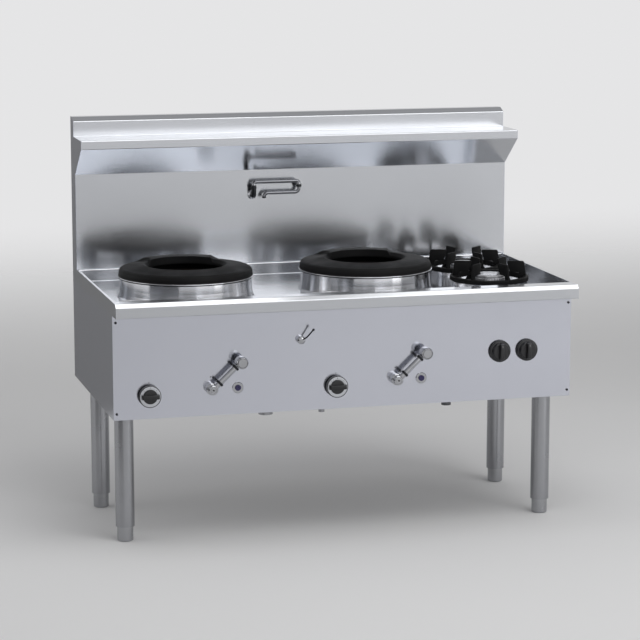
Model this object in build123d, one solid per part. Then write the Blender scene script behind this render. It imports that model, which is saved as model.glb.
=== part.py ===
from build123d import *

import math
import os

# A commercial wok range: two wok burners and two open burners in one stainless-steel
# body on four round legs, with a splashback, a shelf and a folding wall tap.
# Millimetres. +X is to the right as seen from the front, +Y is to the back, +Z is up.
# The origin is on the floor, under the centre of the outline.

# ---------------------------------------------------------------- overall sizes
width = 1500.0
depth = 810.0
height = 1295.0
deck_height = 790.0

# ---------------------------------------------------------------- sheet metal
deck_sheet = 2.0
panel_sheet = 1.5
sheet_bend = 1.5
flange = 20.0

# ---------------------------------------------------------------- deck
lip_height = 45.0
lip_slope_depth = 13.0
lip_slope_height = 11.4
lip_return = 18.0
overhang = 66.0
well_depth = 40.0
side_rim = 7.0
splash_depth = 83.0
body_height = 374.0

# ---------------------------------------------------------------- splashback
cap_rise = 13.0
cap_slope = 30.0
upper_band = 50.7
shelf_lip = 28.2
shelf_depth = 151.8
slope_rise = 95.2
slope_reach = 128.5

# ---------------------------------------------------------------- frame, legs and feet
rail = 35.0
rail_wall = 2.0
side_rail_width = 80.0
rail_above_body_bottom = 9.0
cross_rail_offset = 23.0
leg_diameter = 60.3
leg_wall = 2.0
leg_inset_side = leg_diameter / 2 + 23.15
leg_inset_front = 188.6
leg_inset_rear = 174.1
leg_plate = leg_diameter + 3.7
leg_plate_thickness = 4.0
leg_bush = 14.0
foot_diameter = 50.8
foot_height = 48.0
foot_edge = 3.0
foot_stud_diameter = 16.0
foot_stud_length = 60.0

# ---------------------------------------------------------------- fits
running = 0.05
touch_gap = 0.3
through_gap = 1.0

# ---------------------------------------------------------------- wok burners
burner_section = 300.0
wok_shift = 7.0
wok_forward = 33.5
ring_radius = 217.0
ring_bead = 6.0
ring_edge = 1.5
ring_shoulder_bulge = (0.3, 0.25)
ring_hole_edge = 4.0
ring_shoulder_radius = ring_radius - 14.0
ring_shoulder_height = 31.0
ring_shoulder_round = 17.0
ring_crest_radius = 134.0
ring_crest_height = 41.0
ring_hole_radius = 122.0
ring_thickness = 10.0
ring_lip = 6.0
ring_back_rise = 6.0
ring_back_radius = ring_radius - 47.0
ring_back_half_width = 98.0
ring_back_flare = 44.0
ring_back_start = 60.0
ring_back_end_slope = 45.0
skirt_height = 62.0
skirt_top_radius = ring_radius - 5.0
skirt_flare = 9.0
skirt_curve = ((0.0, 0.0), (0.07, 0.44), (0.25, 0.71), (0.55, 0.89), (1.0, 1.0))
skirt_sheet = 1.5
skirt_ledge = 8.0
chamber_radius = ring_radius - 25.0
chamber_wall = 3.0
chamber_flange = 18.0
chamber_below_ring = 5.0
chamber_straight = 150.0
chamber_cone = 100.0
chamber_bottom_radius = 100.0
wok_burner_radius = 58.0
wok_burner_drop = 47.0
wok_burner_flange_radius = 71.0
wok_jet_radius = 6.0
wok_jet_height = 20.0
wok_jet_circles = ((1, 0.0), (6, 22.0), (12, 44.0))
pilot_offset = 84.0
pilot_pipe_radius = 5.0
pilot_rise = 30.0

# ---------------------------------------------------------------- open burners
open_burner_inset = 212.0
open_burner_spacing = 262.0
trivet_radius = 129.0
trivet_ring_width = 18.0
trivet_ring_height = 13.0
trivet_fin_count = 6
trivet_fin_turn = -17.0
trivet_fin_height = 48.0
trivet_fin_thickness = 7.0
trivet_fin_outer = 113.0
trivet_fin_lean = 8.0
trivet_fin_inner = 58.0
trivet_fin_foot = 20.0
trivet_fin_arch = 11.0
bowl_height = 27.0
bowl_radius = 125.0
bowl_mouth_radius = 104.0
bowl_floor_radius = 66.0
bowl_floor_height = 13.0
bowl_throat_radius = 31.0
bowl_sheet = 1.5
deck_throat_radius = 62.0
head_radius = 55.0
head_base_radius = 45.0
head_height = 24.0
head_throat_radius = 28.0
head_throat_length = 30.0
head_port_count = 36
head_port_width = 2.4
head_port_depth = 4.0
cap_radius = 50.0
cap_thickness = 10.0
cap_spigot_radius = 24.0
cap_spigot_length = 8.0

# ---------------------------------------------------------------- gas line
manifold_radius = 13.45
manifold_wall = 2.6
manifold_behind_panel = 34.0
manifold_above_bottom = 127.0
gas_inlet_radius = 16.85
gas_inlet_thread = 30.0
gas_inlet_shift = 22.0
inlet_inset_rear = 170.0
inlet_drop = 135.0
inlet_bend = 45.0
port_radius = 10.0
branch_radius = 10.0
branch_wall = 1.5
branch_bend = 24.0

# ---------------------------------------------------------------- controls
pilot_knob_x = -181.0
pilot_knob_z = 73.5
pilot_knob_radius = 35.0
pilot_knob_depth = 22.0
pilot_dial_thickness = 2.0
pilot_dial_inner_radius = 24.0
pilot_hub_rise = 4.5
pilot_grip_height = 12.0
pilot_grip_bar = 15.0
pilot_grip_reach = 26.0
pilot_grip_tail = 20.0
pilot_push = 5.0
pilot_stem_depth = 12.0
pilot_valve_radius = 25.0
pilot_valve_length = 48.0
lever_x = 14.2
lever_z = 87.9
lever_boss_radius = 18.5
lever_boss_depth = 28.0
lever_cap_radius = 15.0
lever_cap_depth = 44.5
lever_rod_radius = 8.5
lever_rod_off_panel = 35.0
lever_length = 123.3
lever_angle = 43.3
lever_collar_radius = 12.5
lever_collar_width = 8.0
lever_collar_start = 26.0
lever_collar_gap = 1.0
grip_radius = 19.0
grip_off_panel = 26.0
grip_depth = 35.0
grip_chamfer = 4.0
grip_socket = 9.0
lever_valve_radius = 22.0
lever_valve_length = 62.0
igniter_x = 101.0
igniter_z = 84.5
igniter_bezel_radius = 18.0
igniter_bezel_depth = 3.0
igniter_barrel_radius = 12.0
igniter_barrel_length = 26.0
igniter_button_radius = 9.5
igniter_button_proud = 6.5
igniter_button_length = 18.0
igniter_back_wall = 3.0
burner_knob_left = 31.0
burner_knob_right = 61.0
burner_knob_z = 159.0
burner_knob_radius = 34.5
burner_knob_flange = 7.0
burner_knob_gap = 4.0
burner_knob_waist_radius = 28.0
burner_knob_body = 10.0
burner_knob_bar_width = 15.0
burner_knob_bar_height = 14.0
burner_valve_radius = 17.0
burner_valve_length = 60.0
stem_radius = 4.0
stem_engagement = 20.0
valve_stem_stub = 26.0

# ---------------------------------------------------------------- water
water_valve_shift = 3.0
water_valve_z = 228.0
water_valve_radius = 16.0
water_valve_length = 40.0
water_boss_radius = 13.0
water_boss_depth = 14.0
water_hub_depth = 8.0
water_hub_dome = 24.0
water_rod_radius = 2.3
water_rod_bend = 14.0
water_rod_elbow_side = 15.0
water_rod_elbow_rise = 11.0
water_lever_reach = 48.7
water_lever_angle = 46.4
water_lever_off_panel = 36.0
water_ball_radius = 4.0
water_pipe_radius = 7.5
water_pipe_wall = 1.0
water_pipe_bend = 25.0
water_pipe_spacing = 20.0
water_inlet_radius = 10.65
water_inlet_thread = 25.0
water_inlet_from_wok = 74.0
riser_inset = 40.0
riser_bend = 18.0
tap_shift = 6.0
tap_off_wall = 30.0
tap_below_face_top = 38.6
tap_tube_radius = 6.5
tap_hub_radius = 9.5
tap_hub_height = 24.0
tap_reach = 156.0
tap_drop = 38.0
tap_spigot_radius = 5.0
tap_spigot_length = 17.0
tap_post_radius = 8.0
tap_neck_drop = 46.0
tap_flange_radius = 15.0
tap_flange_thickness = 6.0
spout_reach = 121.0
spout_bend = 14.0
spout_drop = 12.0
spout_nozzle_radius = 6.8
spout_nozzle_length = 5.0

# ---------------------------------------------------------------- drain
drain_before_middle = 73.0
drain_from_splash = 72.0
drain_flange_radius = 34.0
drain_flange_thickness = 2.0
drain_radius = 24.0
drain_wall = 2.0
drain_bend = 45.0
drain_step = 106.0
drain_step_top = 190.0
drain_step_height = 60.0
drain_end_radius = 25.0
drain_end_length = 60.0
strainer_hole_radius = 2.5
strainer_circles = ((1, 0.0), (6, 8.0), (12, 16.0))

# ---------------------------------------------------------------- fasteners
screw_head_radius = 4.0
screw_head_height = 2.2
screw_shank_radius = 2.0
screw_length = 9.0
screw_inset = 10.0
screw_above_bottom = 20.0
screw_below_lip = 22.0

# ---------------------------------------------------------------- worked-out places
front = -depth / 2
back = depth / 2
panel_front = front + overhang
panel_back = panel_front + panel_sheet
well_back = back - splash_depth
well_floor = deck_height - well_depth
deck_under = well_floor - deck_sheet
lip_bottom = deck_height - lip_height
body_bottom = deck_height - body_height
side_face = width / 2
side_inner = side_face - panel_sheet
rear_inner = back - panel_sheet

rail_bottom = body_bottom + rail_above_body_bottom
rail_top = rail_bottom + rail
side_rail_inner = side_inner - side_rail_width

bay = (width - burner_section) / 2
left_wok_x = -side_face + bay / 2 - wok_shift
right_wok_x = left_wok_x + bay
between_woks = (left_wok_x + right_wok_x) / 2
well_middle = (panel_front + well_back) / 2
wok_y = well_middle - wok_forward
ring_seat = well_floor + skirt_height
chamber_top = ring_seat - chamber_below_ring
cone_top = deck_under - chamber_straight
cone_bottom = cone_top - chamber_cone

open_burner_x = side_face - open_burner_inset
front_burner_y = well_middle - open_burner_spacing / 2
rear_burner_y = well_middle + open_burner_spacing / 2
trivet_seat = well_floor + bowl_height
bowl_floor = well_floor + bowl_floor_height
head_top = bowl_floor + head_height

manifold_y = panel_back + manifold_behind_panel
manifold_z = body_bottom + manifold_above_bottom
inlet_y = back - inlet_inset_rear
inlet_end = body_bottom - inlet_drop

face_top = height - cap_rise - upper_band - shelf_lip - slope_rise
tap_x = between_woks + tap_shift
tap_y = well_back - tap_off_wall
tap_z = face_top - tap_below_face_top
tap_neck_z = tap_z - tap_neck_drop
spout_z = tap_z - tap_drop
water_x = between_woks + water_valve_shift
water_z = body_bottom + water_valve_z

wok_centres = {"left": left_wok_x, "right": right_wok_x}
burner_centres = {"front": front_burner_y, "rear": rear_burner_y}
burner_knob_x = {"front": open_burner_x - burner_knob_left, "rear": open_burner_x + burner_knob_right}


# ---------------------------------------------------------------- shared shapes
def block(x, y, z):
    """Box between two corners, given as (low, high) pairs."""
    centre = Pos((x[0] + x[1]) / 2, (y[0] + y[1]) / 2, (z[0] + z[1]) / 2)
    return centre * Box(x[1] - x[0], y[1] - y[0], z[1] - z[0])


def upright(x, y, z, radius):
    """Round bar along Z between two heights."""
    return Pos(x, y, z[0]) * Cylinder(radius, z[1] - z[0], align=(Align.CENTER, Align.CENTER, Align.MIN))


def through_panel(x, y, z, radius):
    """Round bar along Y between two depths."""
    bar = Cylinder(radius, y[1] - y[0], align=(Align.CENTER, Align.CENTER, Align.MIN))
    return Pos(x, y[0], z) * Rot(-90, 0, 0) * bar


def sideways(x, y, z, radius):
    """Round bar along X between two places."""
    bar = Cylinder(radius, x[1] - x[0], align=(Align.CENTER, Align.CENTER, Align.MIN))
    return Pos(x[0], y, z) * Rot(0, 90, 0) * bar


def turned(points, angle=360.0):
    """Solid of revolution about Z from a closed outline of (radius, height) points."""
    return revolve(Plane.XZ * make_face(Polyline(*points, close=True)), Axis.Z, angle)


def sheet_section(points, thickness, bend=sheet_bend):
    """Closed section of a folded sheet; the sheet's body lies to the right of the path."""
    runs = []
    for start, end in zip(points, points[1:]):
        length = math.dist(start, end)
        runs.append(((end[0] - start[0]) / length, (end[1] - start[1]) / length))
    inner = []
    for k, (u, v) in enumerate(points):
        before = runs[max(k - 1, 0)]
        after = runs[min(k, len(runs) - 1)]
        normal = (before[1] + after[1], -before[0] - after[0])
        scale = 2 * thickness / (normal[0] ** 2 + normal[1] ** 2)
        inner.append((u + normal[0] * scale, v + normal[1] * scale))
    turns = [a[0] * b[1] - a[1] * b[0] for a, b in zip(runs, runs[1:])]
    path_radii = [bend + thickness if turn < 0 else bend for turn in turns]
    inner_radii = [bend if turn < 0 else bend + thickness for turn in turns]
    outer_line = FilletPolyline(*points, radius=path_radii)
    inner_line = FilletPolyline(*inner, radius=inner_radii)
    ends = [Line(points[-1], inner[-1]), Line(inner[0], points[0])]
    return make_face(Curve() + [outer_line, inner_line] + ends)


def along_x(section, x):
    """Extrude a (y, z) section along X between two places."""
    return Pos(x[0], 0, 0) * extrude(Plane.YZ * section, amount=x[1] - x[0])


def pipe(points, bend, radius, wall):
    """Hollow pipe along straight runs joined by tangent arcs."""
    path = FilletPolyline(*points, radius=bend)
    section = Circle(radius) - Circle(radius - wall)
    return sweep(Plane(origin=path @ 0, z_dir=path % 0) * section, path=path)


def on_circles(circles):
    """Centres of evenly spaced places on rings of (count, radius)."""
    places = []
    for count, radius in circles:
        for k in range(count):
            turn = 2 * math.pi * k / count
            places.append((radius * math.cos(turn), radius * math.sin(turn)))
    return places


# ---------------------------------------------------------------- deck and panels
def deck():
    """Folded deck: front lip, sunken well with upstands, and a ledge that carries the splashback."""
    lip_shoulder = deck_height - lip_slope_height
    path = [
        (front + lip_return, lip_bottom),
        (front, lip_bottom),
        (front, lip_shoulder),
        (front + lip_slope_depth, deck_height),
        (panel_front, deck_height),
        (panel_front, well_floor),
        (well_back, well_floor),
        (well_back, deck_height),
        (rear_inner, deck_height),
    ]
    end_inner = side_face - deck_sheet
    body = along_x(sheet_section(path, deck_sheet), (-end_inner, end_inner))
    end_outline = Polyline(
        (front, lip_bottom),
        (front, lip_shoulder),
        (front + lip_slope_depth, deck_height),
        (rear_inner, deck_height),
        (rear_inner, lip_bottom),
        close=True,
    )
    end_plate = make_face(end_outline)
    wall_inner = side_face - side_rim
    rim_y = (panel_front - deck_sheet, well_back + deck_sheet)
    wall_y = (panel_front - deck_sheet, well_back + deck_sheet)
    for side in (-1, 1):
        plate_x = sorted((side * end_inner, side * side_face))
        rim_x = sorted((side * wall_inner, side * side_face))
        wall_x = sorted((side * wall_inner, side * (wall_inner + deck_sheet)))
        body += along_x(end_plate, plate_x)
        body += block(rim_x, rim_y, (deck_height - deck_sheet, deck_height))
        body += block(wall_x, wall_y, (deck_under, deck_height))
    cut_z = (deck_under - 1, well_floor + 1)
    for x in wok_centres.values():
        body -= upright(x, wok_y, cut_z, chamber_radius + through_gap)
    for y in burner_centres.values():
        body -= upright(open_burner_x, y, cut_z, deck_throat_radius)
    body -= upright(*drain_place, cut_z, drain_radius + touch_gap)
    ledge_z = (deck_height - 2 * deck_sheet, deck_height + 1)
    body -= upright(tap_x, back - riser_inset, ledge_z, water_pipe_radius + through_gap)
    return body


def front_panel():
    """Flat front with a stiffening fold along its bottom edge and holes for the controls."""
    panel = block((-side_face, side_face), (panel_front, panel_back), (body_bottom, lip_bottom))
    tab_x = side_face - deck_sheet - touch_gap
    panel += block((-tab_x, tab_x), (panel_front, panel_back), (lip_bottom - 1, deck_under))
    fold_x = side_face - flange - touch_gap
    fold_z = (body_bottom, body_bottom + panel_sheet)
    panel += block((-fold_x, fold_x), (panel_front, panel_front + flange), fold_z)
    hole_y = (panel_front - 1, panel_back + 1)
    stem_hole = stem_radius + through_gap
    for x in wok_centres.values():
        panel -= through_panel(x + pilot_knob_x, hole_y, body_bottom + pilot_knob_z, stem_hole)
        panel -= through_panel(x + lever_x, hole_y, body_bottom + lever_z, stem_hole)
        barrel = igniter_barrel_radius + touch_gap
        panel -= through_panel(x + igniter_x, hole_y, body_bottom + igniter_z, barrel)
    for x in burner_knob_x.values():
        panel -= through_panel(x, hole_y, body_bottom + burner_knob_z, stem_radius + through_gap)
    panel -= through_panel(water_x, hole_y, water_z, stem_radius + through_gap)
    for x, z in screw_places:
        panel -= through_panel(x, hole_y, z, screw_shank_radius + running)
    return panel


def side_panel(side):
    """End panel with flanges folded in along all four edges; side is -1 or 1."""
    y = (panel_back, rear_inner)
    z = (body_bottom, lip_bottom)
    tray = block(sorted((side * (side_face - flange), side * side_face)), y, z)
    hollow_x = sorted((side * (side_face - flange - 1), side * side_inner))
    hollow_y = (y[0] + panel_sheet, y[1] - panel_sheet)
    tray -= block(hollow_x, hollow_y, (z[0] + panel_sheet, z[1] - panel_sheet))
    hole_y = (y[0] - 1, y[0] + flange)
    for x, height_of_screw in screw_places:
        if x * side > 0:
            tray -= through_panel(x, hole_y, height_of_screw, screw_shank_radius + running)
    return tray


def rear_panel():
    """Full-height sheet across the back of the body and the splashback."""
    return block((-side_face, side_face), (rear_inner, back), (body_bottom, height))


splash_outline = [
    (well_back, deck_height),
    (well_back, face_top),
    (well_back - slope_reach, face_top + slope_rise),
    (well_back - slope_reach, face_top + slope_rise + shelf_lip),
    (well_back - slope_reach + shelf_depth, face_top + slope_rise + shelf_lip),
    (well_back - slope_reach + shelf_depth, height - cap_rise),
    (well_back - slope_reach + shelf_depth + cap_slope, height),
    (rear_inner, height),
]


def splashback():
    """Front skin of the splashback, folded into the shelf and the top cap."""
    path = [(well_back + flange, deck_height)] + splash_outline
    skin = along_x(sheet_section(path, panel_sheet), (-side_inner, side_inner))
    neck_hole = (well_back - 1, well_back + panel_sheet + 1)
    return skin - through_panel(tap_x, neck_hole, tap_neck_z, tap_post_radius + running)


def end_caps():
    """The two flat ends that close the splashback."""
    outline = make_face(Polyline(*splash_outline, (rear_inner, deck_height), close=True))
    return [along_x(outline, sorted((side * side_inner, side * side_face))) for side in (-1, 1)]


# ---------------------------------------------------------------- frame and legs
def box_tube(x, y, z, run):
    """Rectangular tube between two corners, open at both ends of its run ('x' or 'y')."""
    hollow_x = (x[0] + rail_wall, x[1] - rail_wall) if run == "y" else (x[0] - 1, x[1] + 1)
    hollow_y = (y[0] + rail_wall, y[1] - rail_wall) if run == "x" else (y[0] - 1, y[1] + 1)
    return block(x, y, z) - block(hollow_x, hollow_y, (z[0] + rail_wall, z[1] - rail_wall))


rail_z = (rail_bottom, rail_top)
front_rail_y = (panel_back + panel_sheet, panel_back + panel_sheet + rail)
rear_rail_y = (rear_inner - panel_sheet - rail, rear_inner - panel_sheet)


def cross_rails():
    """Two rails from front to back, one between the woks and one beside the open burners."""
    y = (front_rail_y[1], rear_rail_y[0])
    centres = (between_woks - cross_rail_offset, (right_wok_x + open_burner_x) / 2)
    return [box_tube((x - rail / 2, x + rail / 2), y, rail_z, "y") for x in centres]


def long_rails():
    """Rails along the front and the rear, between the side rails."""
    x = (-side_rail_inner, side_rail_inner)
    return [box_tube(x, y, rail_z, "x") for y in (front_rail_y, rear_rail_y)]


def side_rails():
    """Wide rails along both ends, over the legs."""
    rails = []
    for side in (-1, 1):
        x = sorted((side * side_rail_inner, side * side_inner))
        rails.append(box_tube(x, (front_rail_y[0], rear_rail_y[1]), rail_z, "y"))
    return rails


def leg(x, y):
    """Round leg with a plate welded to its top and a threaded bush in its foot end."""
    radius = leg_diameter / 2
    plate_z = (rail_bottom - leg_plate_thickness, rail_bottom)
    tube_z = (foot_height, plate_z[0])
    shape = upright(x, y, tube_z, radius) - upright(x, y, (tube_z[0] - 1, tube_z[1] + 1), radius - leg_wall)
    shape += upright(x, y, (foot_height, foot_height + leg_bush), radius - leg_wall / 2)
    half = leg_plate / 2
    shape += block((x - half, x + half), (y - half, y + half), plate_z)
    bore = (foot_height - 1, foot_height + leg_bush + 1)
    return shape - upright(x, y, bore, foot_stud_diameter / 2 + running)


def foot(x, y):
    """Adjustable foot: a round cup on a threaded stud."""
    radius = foot_diameter / 2
    cup = [(0, 0), (radius - foot_edge, 0), (radius, foot_edge), (radius, foot_height), (0, foot_height)]
    stud = upright(0, 0, (foot_height - 1, foot_height + foot_stud_length), foot_stud_diameter / 2)
    return Pos(x, y, 0) * (turned(cup) + stud)


# ---------------------------------------------------------------- wok burners
def wok_skirt(x):
    """Polished band that flares towards the deck and carries the cast ring on a ledge."""
    outer = [(skirt_top_radius + skirt_flare * u, ring_seat - skirt_height * v) for u, v in skirt_curve]
    ledge = [
        (skirt_top_radius - skirt_ledge, ring_seat),
        (skirt_top_radius - skirt_ledge, ring_seat - skirt_sheet),
    ]
    inner = [(skirt_top_radius - skirt_sheet, ring_seat - skirt_sheet)]
    inner += [(radius - skirt_sheet, level) for radius, level in outer[1:]]
    return Pos(x, wok_y, 0) * turned(outer[::-1] + ledge + inner)


def wok_ring(x):
    """Cast ring: upright rim, rounded shoulder, nearly flat top and a raised back round the hole."""
    shoulder = (ring_shoulder_radius, ring_seat + ring_shoulder_height)
    crest = ring_seat + ring_crest_height
    wall_top = (ring_radius - ring_edge, shoulder[1] - ring_shoulder_round)
    lip_outer = skirt_top_radius - skirt_ledge - touch_gap
    lip_inner = lip_outer - ring_lip
    rim = [
        shoulder,
        (ring_crest_radius, crest),
        (ring_crest_radius - ring_hole_edge, crest - ring_edge),
        (ring_hole_radius, crest - ring_thickness),
        (ring_hole_radius, crest - 2 * ring_thickness),
        (ring_crest_radius, crest - ring_thickness - 2),
        (lip_inner - 8, shoulder[1] - ring_thickness),
        (lip_inner, shoulder[1] - 2 * ring_thickness),
        (lip_inner, ring_seat - chamber_below_ring - 1),
        (lip_outer, ring_seat - chamber_below_ring - 1),
        (lip_outer, ring_seat),
        (ring_radius - 1, ring_seat),
        (ring_radius, ring_seat + 1),
        (ring_radius, ring_seat + ring_bead),
        (ring_radius - ring_edge, ring_seat + ring_bead + ring_edge),
        wall_top,
    ]
    corner = (
        ring_radius - ring_shoulder_bulge[0] * (ring_radius - ring_shoulder_radius),
        shoulder[1] - ring_shoulder_bulge[1] * ring_shoulder_round,
    )
    edges = [Polyline(*rim), ThreePointArc(wall_top, corner, shoulder)]
    ring = revolve(Plane.XZ * make_face(Curve() + edges), Axis.Z)
    back_top = crest + ring_back_rise
    raised = turned([
        (ring_hole_radius, crest - ring_thickness - 2),
        (ring_hole_radius, back_top - ring_edge),
        (ring_hole_radius + ring_edge, back_top),
        (ring_back_radius, back_top),
        (ring_shoulder_radius - 1, shoulder[1] - 0.5),
        (ring_shoulder_radius - 2, shoulder[1] - 3),
        (ring_crest_radius, crest - 5),
    ])
    return Pos(x, wok_y, 0) * (ring + (raised & ring_back_wedge(back_top)))


def ring_back_wedge(top):
    """Plan outline of the ring's raised back, wider behind than at the hole, with sloped ends."""
    half_front = ring_back_half_width
    half_rear = half_front + ring_back_flare
    plan = Polyline(
        (-half_front, ring_back_start),
        (half_front, ring_back_start),
        (half_rear, ring_radius),
        (-half_rear, ring_radius),
        close=True,
    )
    depth_of_wedge = ring_thickness + ring_back_rise
    wedge = extrude(make_face(plan), amount=-depth_of_wedge, taper=-ring_back_end_slope)
    return Pos(0, 0, top) * wedge


def wok_chamber(x):
    """Steel combustion chamber that hangs in the deck by a flange and narrows to the burner."""
    inner = chamber_radius - chamber_wall
    bottom_inner = chamber_bottom_radius - chamber_wall
    section = [
        (chamber_radius, chamber_top),
        (chamber_radius, well_floor + chamber_wall),
        (chamber_radius + chamber_flange, well_floor + chamber_wall),
        (chamber_radius + chamber_flange, well_floor),
        (chamber_radius, well_floor),
        (chamber_radius, cone_top),
        (chamber_bottom_radius, cone_bottom),
        (wok_burner_radius + through_gap, cone_bottom),
        (wok_burner_radius + through_gap, cone_bottom + chamber_wall),
        (bottom_inner, cone_bottom + chamber_wall),
        (inner, cone_top),
        (inner, chamber_top),
    ]
    pilot_z = (cone_bottom - 1, cone_bottom + chamber_wall + 1)
    pilot_hole = upright(-pilot_offset, 0, pilot_z, pilot_pipe_radius + touch_gap)
    return Pos(x, wok_y, 0) * (turned(section) - pilot_hole)


def wok_burner(x):
    """Cast burner seated on the chamber floor, with upright jets and a side inlet."""
    seat = cone_bottom + chamber_wall
    plate_top = seat + 5
    hub_z = (cone_bottom - wok_burner_drop, plate_top)
    body = upright(0, 0, hub_z, wok_burner_radius)
    body += upright(0, 0, (seat, plate_top), wok_burner_flange_radius)
    for u, v in on_circles(wok_jet_circles):
        body += upright(u, v, (plate_top - 1, plate_top + wok_jet_height), wok_jet_radius)
    inlet_z = wok_inlet_z
    body += through_panel(0, (-wok_burner_radius - 14, 0), inlet_z, branch_radius + 5)
    body -= through_panel(0, (-wok_burner_radius - 15, -20), inlet_z, branch_radius + running)
    return Pos(x, wok_y, 0) * body


# ---------------------------------------------------------------- open burners
def burner_bowl(y):
    """Polished base ring with the drip bowl pressed into it."""
    top = trivet_seat
    section = [
        (bowl_radius, well_floor),
        (bowl_radius, top - 2),
        (bowl_radius - 2, top),
        (bowl_mouth_radius, top),
        (bowl_floor_radius, bowl_floor),
        (bowl_throat_radius, bowl_floor),
        (bowl_throat_radius, bowl_floor - bowl_sheet),
        (bowl_floor_radius + 1, bowl_floor - bowl_sheet),
        (bowl_mouth_radius + 1, top - bowl_sheet),
        (bowl_radius - 2.5, top - bowl_sheet),
        (bowl_radius - bowl_sheet, top - 2.5),
        (bowl_radius - bowl_sheet, well_floor),
    ]
    return Pos(open_burner_x, y, 0) * turned(section)


def burner_head(y):
    """Burner head on the bowl's floor, with a ring of flame ports and a throat for the gas."""
    wall = 4
    section = [
        (head_throat_radius - wall, bowl_floor - head_throat_length),
        (head_throat_radius, bowl_floor - head_throat_length),
        (head_throat_radius, bowl_floor),
        (head_base_radius, bowl_floor),
        (head_radius, bowl_floor + 8),
        (head_radius, head_top),
        (cap_spigot_radius + running, head_top),
        (cap_spigot_radius + running, head_top - cap_spigot_length - 1),
        (head_throat_radius - wall, head_top - cap_spigot_length - 1),
    ]
    body = turned(section)
    slot_z = (head_top - 6, head_top - 2)
    slot_x = (head_radius - head_port_depth, head_radius + 1)
    slot = block(slot_x, (-head_port_width / 2, head_port_width / 2), slot_z)
    slots = [Rot(0, 0, 360 / head_port_count * k) * slot for k in range(head_port_count)]
    return Pos(open_burner_x, y, 0) * (body - slots)


def burner_cap(y):
    """Loose cap that drops into the head by a spigot."""
    section = [
        (0, head_top - cap_spigot_length),
        (cap_spigot_radius, head_top - cap_spigot_length),
        (cap_spigot_radius, head_top),
        (cap_radius - 1, head_top),
        (cap_radius, head_top + 1),
        (cap_radius, head_top + cap_thickness - 4),
        (cap_radius - 4, head_top + cap_thickness - 1),
        (cap_radius - 14, head_top + cap_thickness),
        (0, head_top + cap_thickness),
    ]
    return Pos(open_burner_x, y, 0) * turned(section)


def trivet(y):
    """Cast pan support: a flat ring with upright fins that reach in over the burner."""
    ring_top = trivet_seat + trivet_ring_height
    inner = trivet_radius - trivet_ring_width
    ring = [
        (inner, trivet_seat),
        (trivet_radius - 1, trivet_seat),
        (trivet_radius, trivet_seat + 1),
        (trivet_radius, ring_top - 3),
        (trivet_radius - 3, ring_top),
        (inner + 2, ring_top),
        (inner, ring_top - 2),
    ]
    fin_top = ring_top + trivet_fin_height
    arch = ring_top + trivet_fin_arch
    fin_root = trivet_fin_outer + trivet_fin_lean
    fin_outline = Polyline(
        (fin_root - trivet_fin_foot, ring_top - 1),
        (fin_root, ring_top - 1),
        (trivet_fin_outer + 1, fin_top - 3),
        (trivet_fin_outer - 2, fin_top),
        (trivet_fin_inner + 2, fin_top),
        (trivet_fin_inner, fin_top - 3),
        (trivet_fin_inner + 9, arch + 3),
        (fin_root - trivet_fin_foot - 4, arch),
        close=True,
    )
    fin = extrude(Plane.XZ * make_face(fin_outline), amount=trivet_fin_thickness / 2, both=True)
    shape = turned(ring)
    for k in range(trivet_fin_count):
        shape += Rot(0, 0, trivet_fin_turn + 360 / trivet_fin_count * k) * fin
    return Pos(open_burner_x, y, 0) * shape


# ---------------------------------------------------------------- gas line
def branch_ports():
    """Places along the manifold where a valve stands below (-1) or above (+1) it."""
    ports = []
    for x in wok_centres.values():
        ports.append((x + pilot_knob_x, -1, body_bottom + pilot_knob_z + pilot_valve_radius))
        ports.append((x + lever_x, -1, body_bottom + lever_z + lever_valve_radius))
    for x in burner_knob_x.values():
        ports.append((x, 1, body_bottom + burner_knob_z - burner_valve_radius))
    return ports


def gas_manifold():
    """Gas pipe along the front with a socket at each valve and an inlet leg at the rear."""
    ports = branch_ports()
    low = min(x for x, _, _ in ports) - 2 * manifold_radius
    high = max(x for x, _, _ in ports) + 2 * manifold_radius
    bore = manifold_radius - manifold_wall
    inlet_x = open_burner_x - gas_inlet_shift
    run = [(inlet_x, manifold_y, manifold_z), (inlet_x, inlet_y, manifold_z), (inlet_x, inlet_y, inlet_end)]
    path = FilletPolyline(*run, radius=inlet_bend)
    body = sweep(Plane(origin=path @ 0, z_dir=path % 0) * Circle(manifold_radius), path=path)
    body += sideways((low, high), manifold_y, manifold_z, manifold_radius)
    body += upright(inlet_x, inlet_y, (inlet_end, inlet_end + gas_inlet_thread), gas_inlet_radius)
    for x, way, meet in ports:
        body += upright(x, manifold_y, sorted((manifold_z, meet)), port_radius)
    body -= sweep(Plane(origin=path @ 0, z_dir=path % 0) * Circle(bore), path=path)
    body -= sideways((low + manifold_wall, high - manifold_wall), manifold_y, manifold_z, bore)
    return body


wok_inlet_z = cone_bottom - wok_burner_drop / 2


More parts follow.
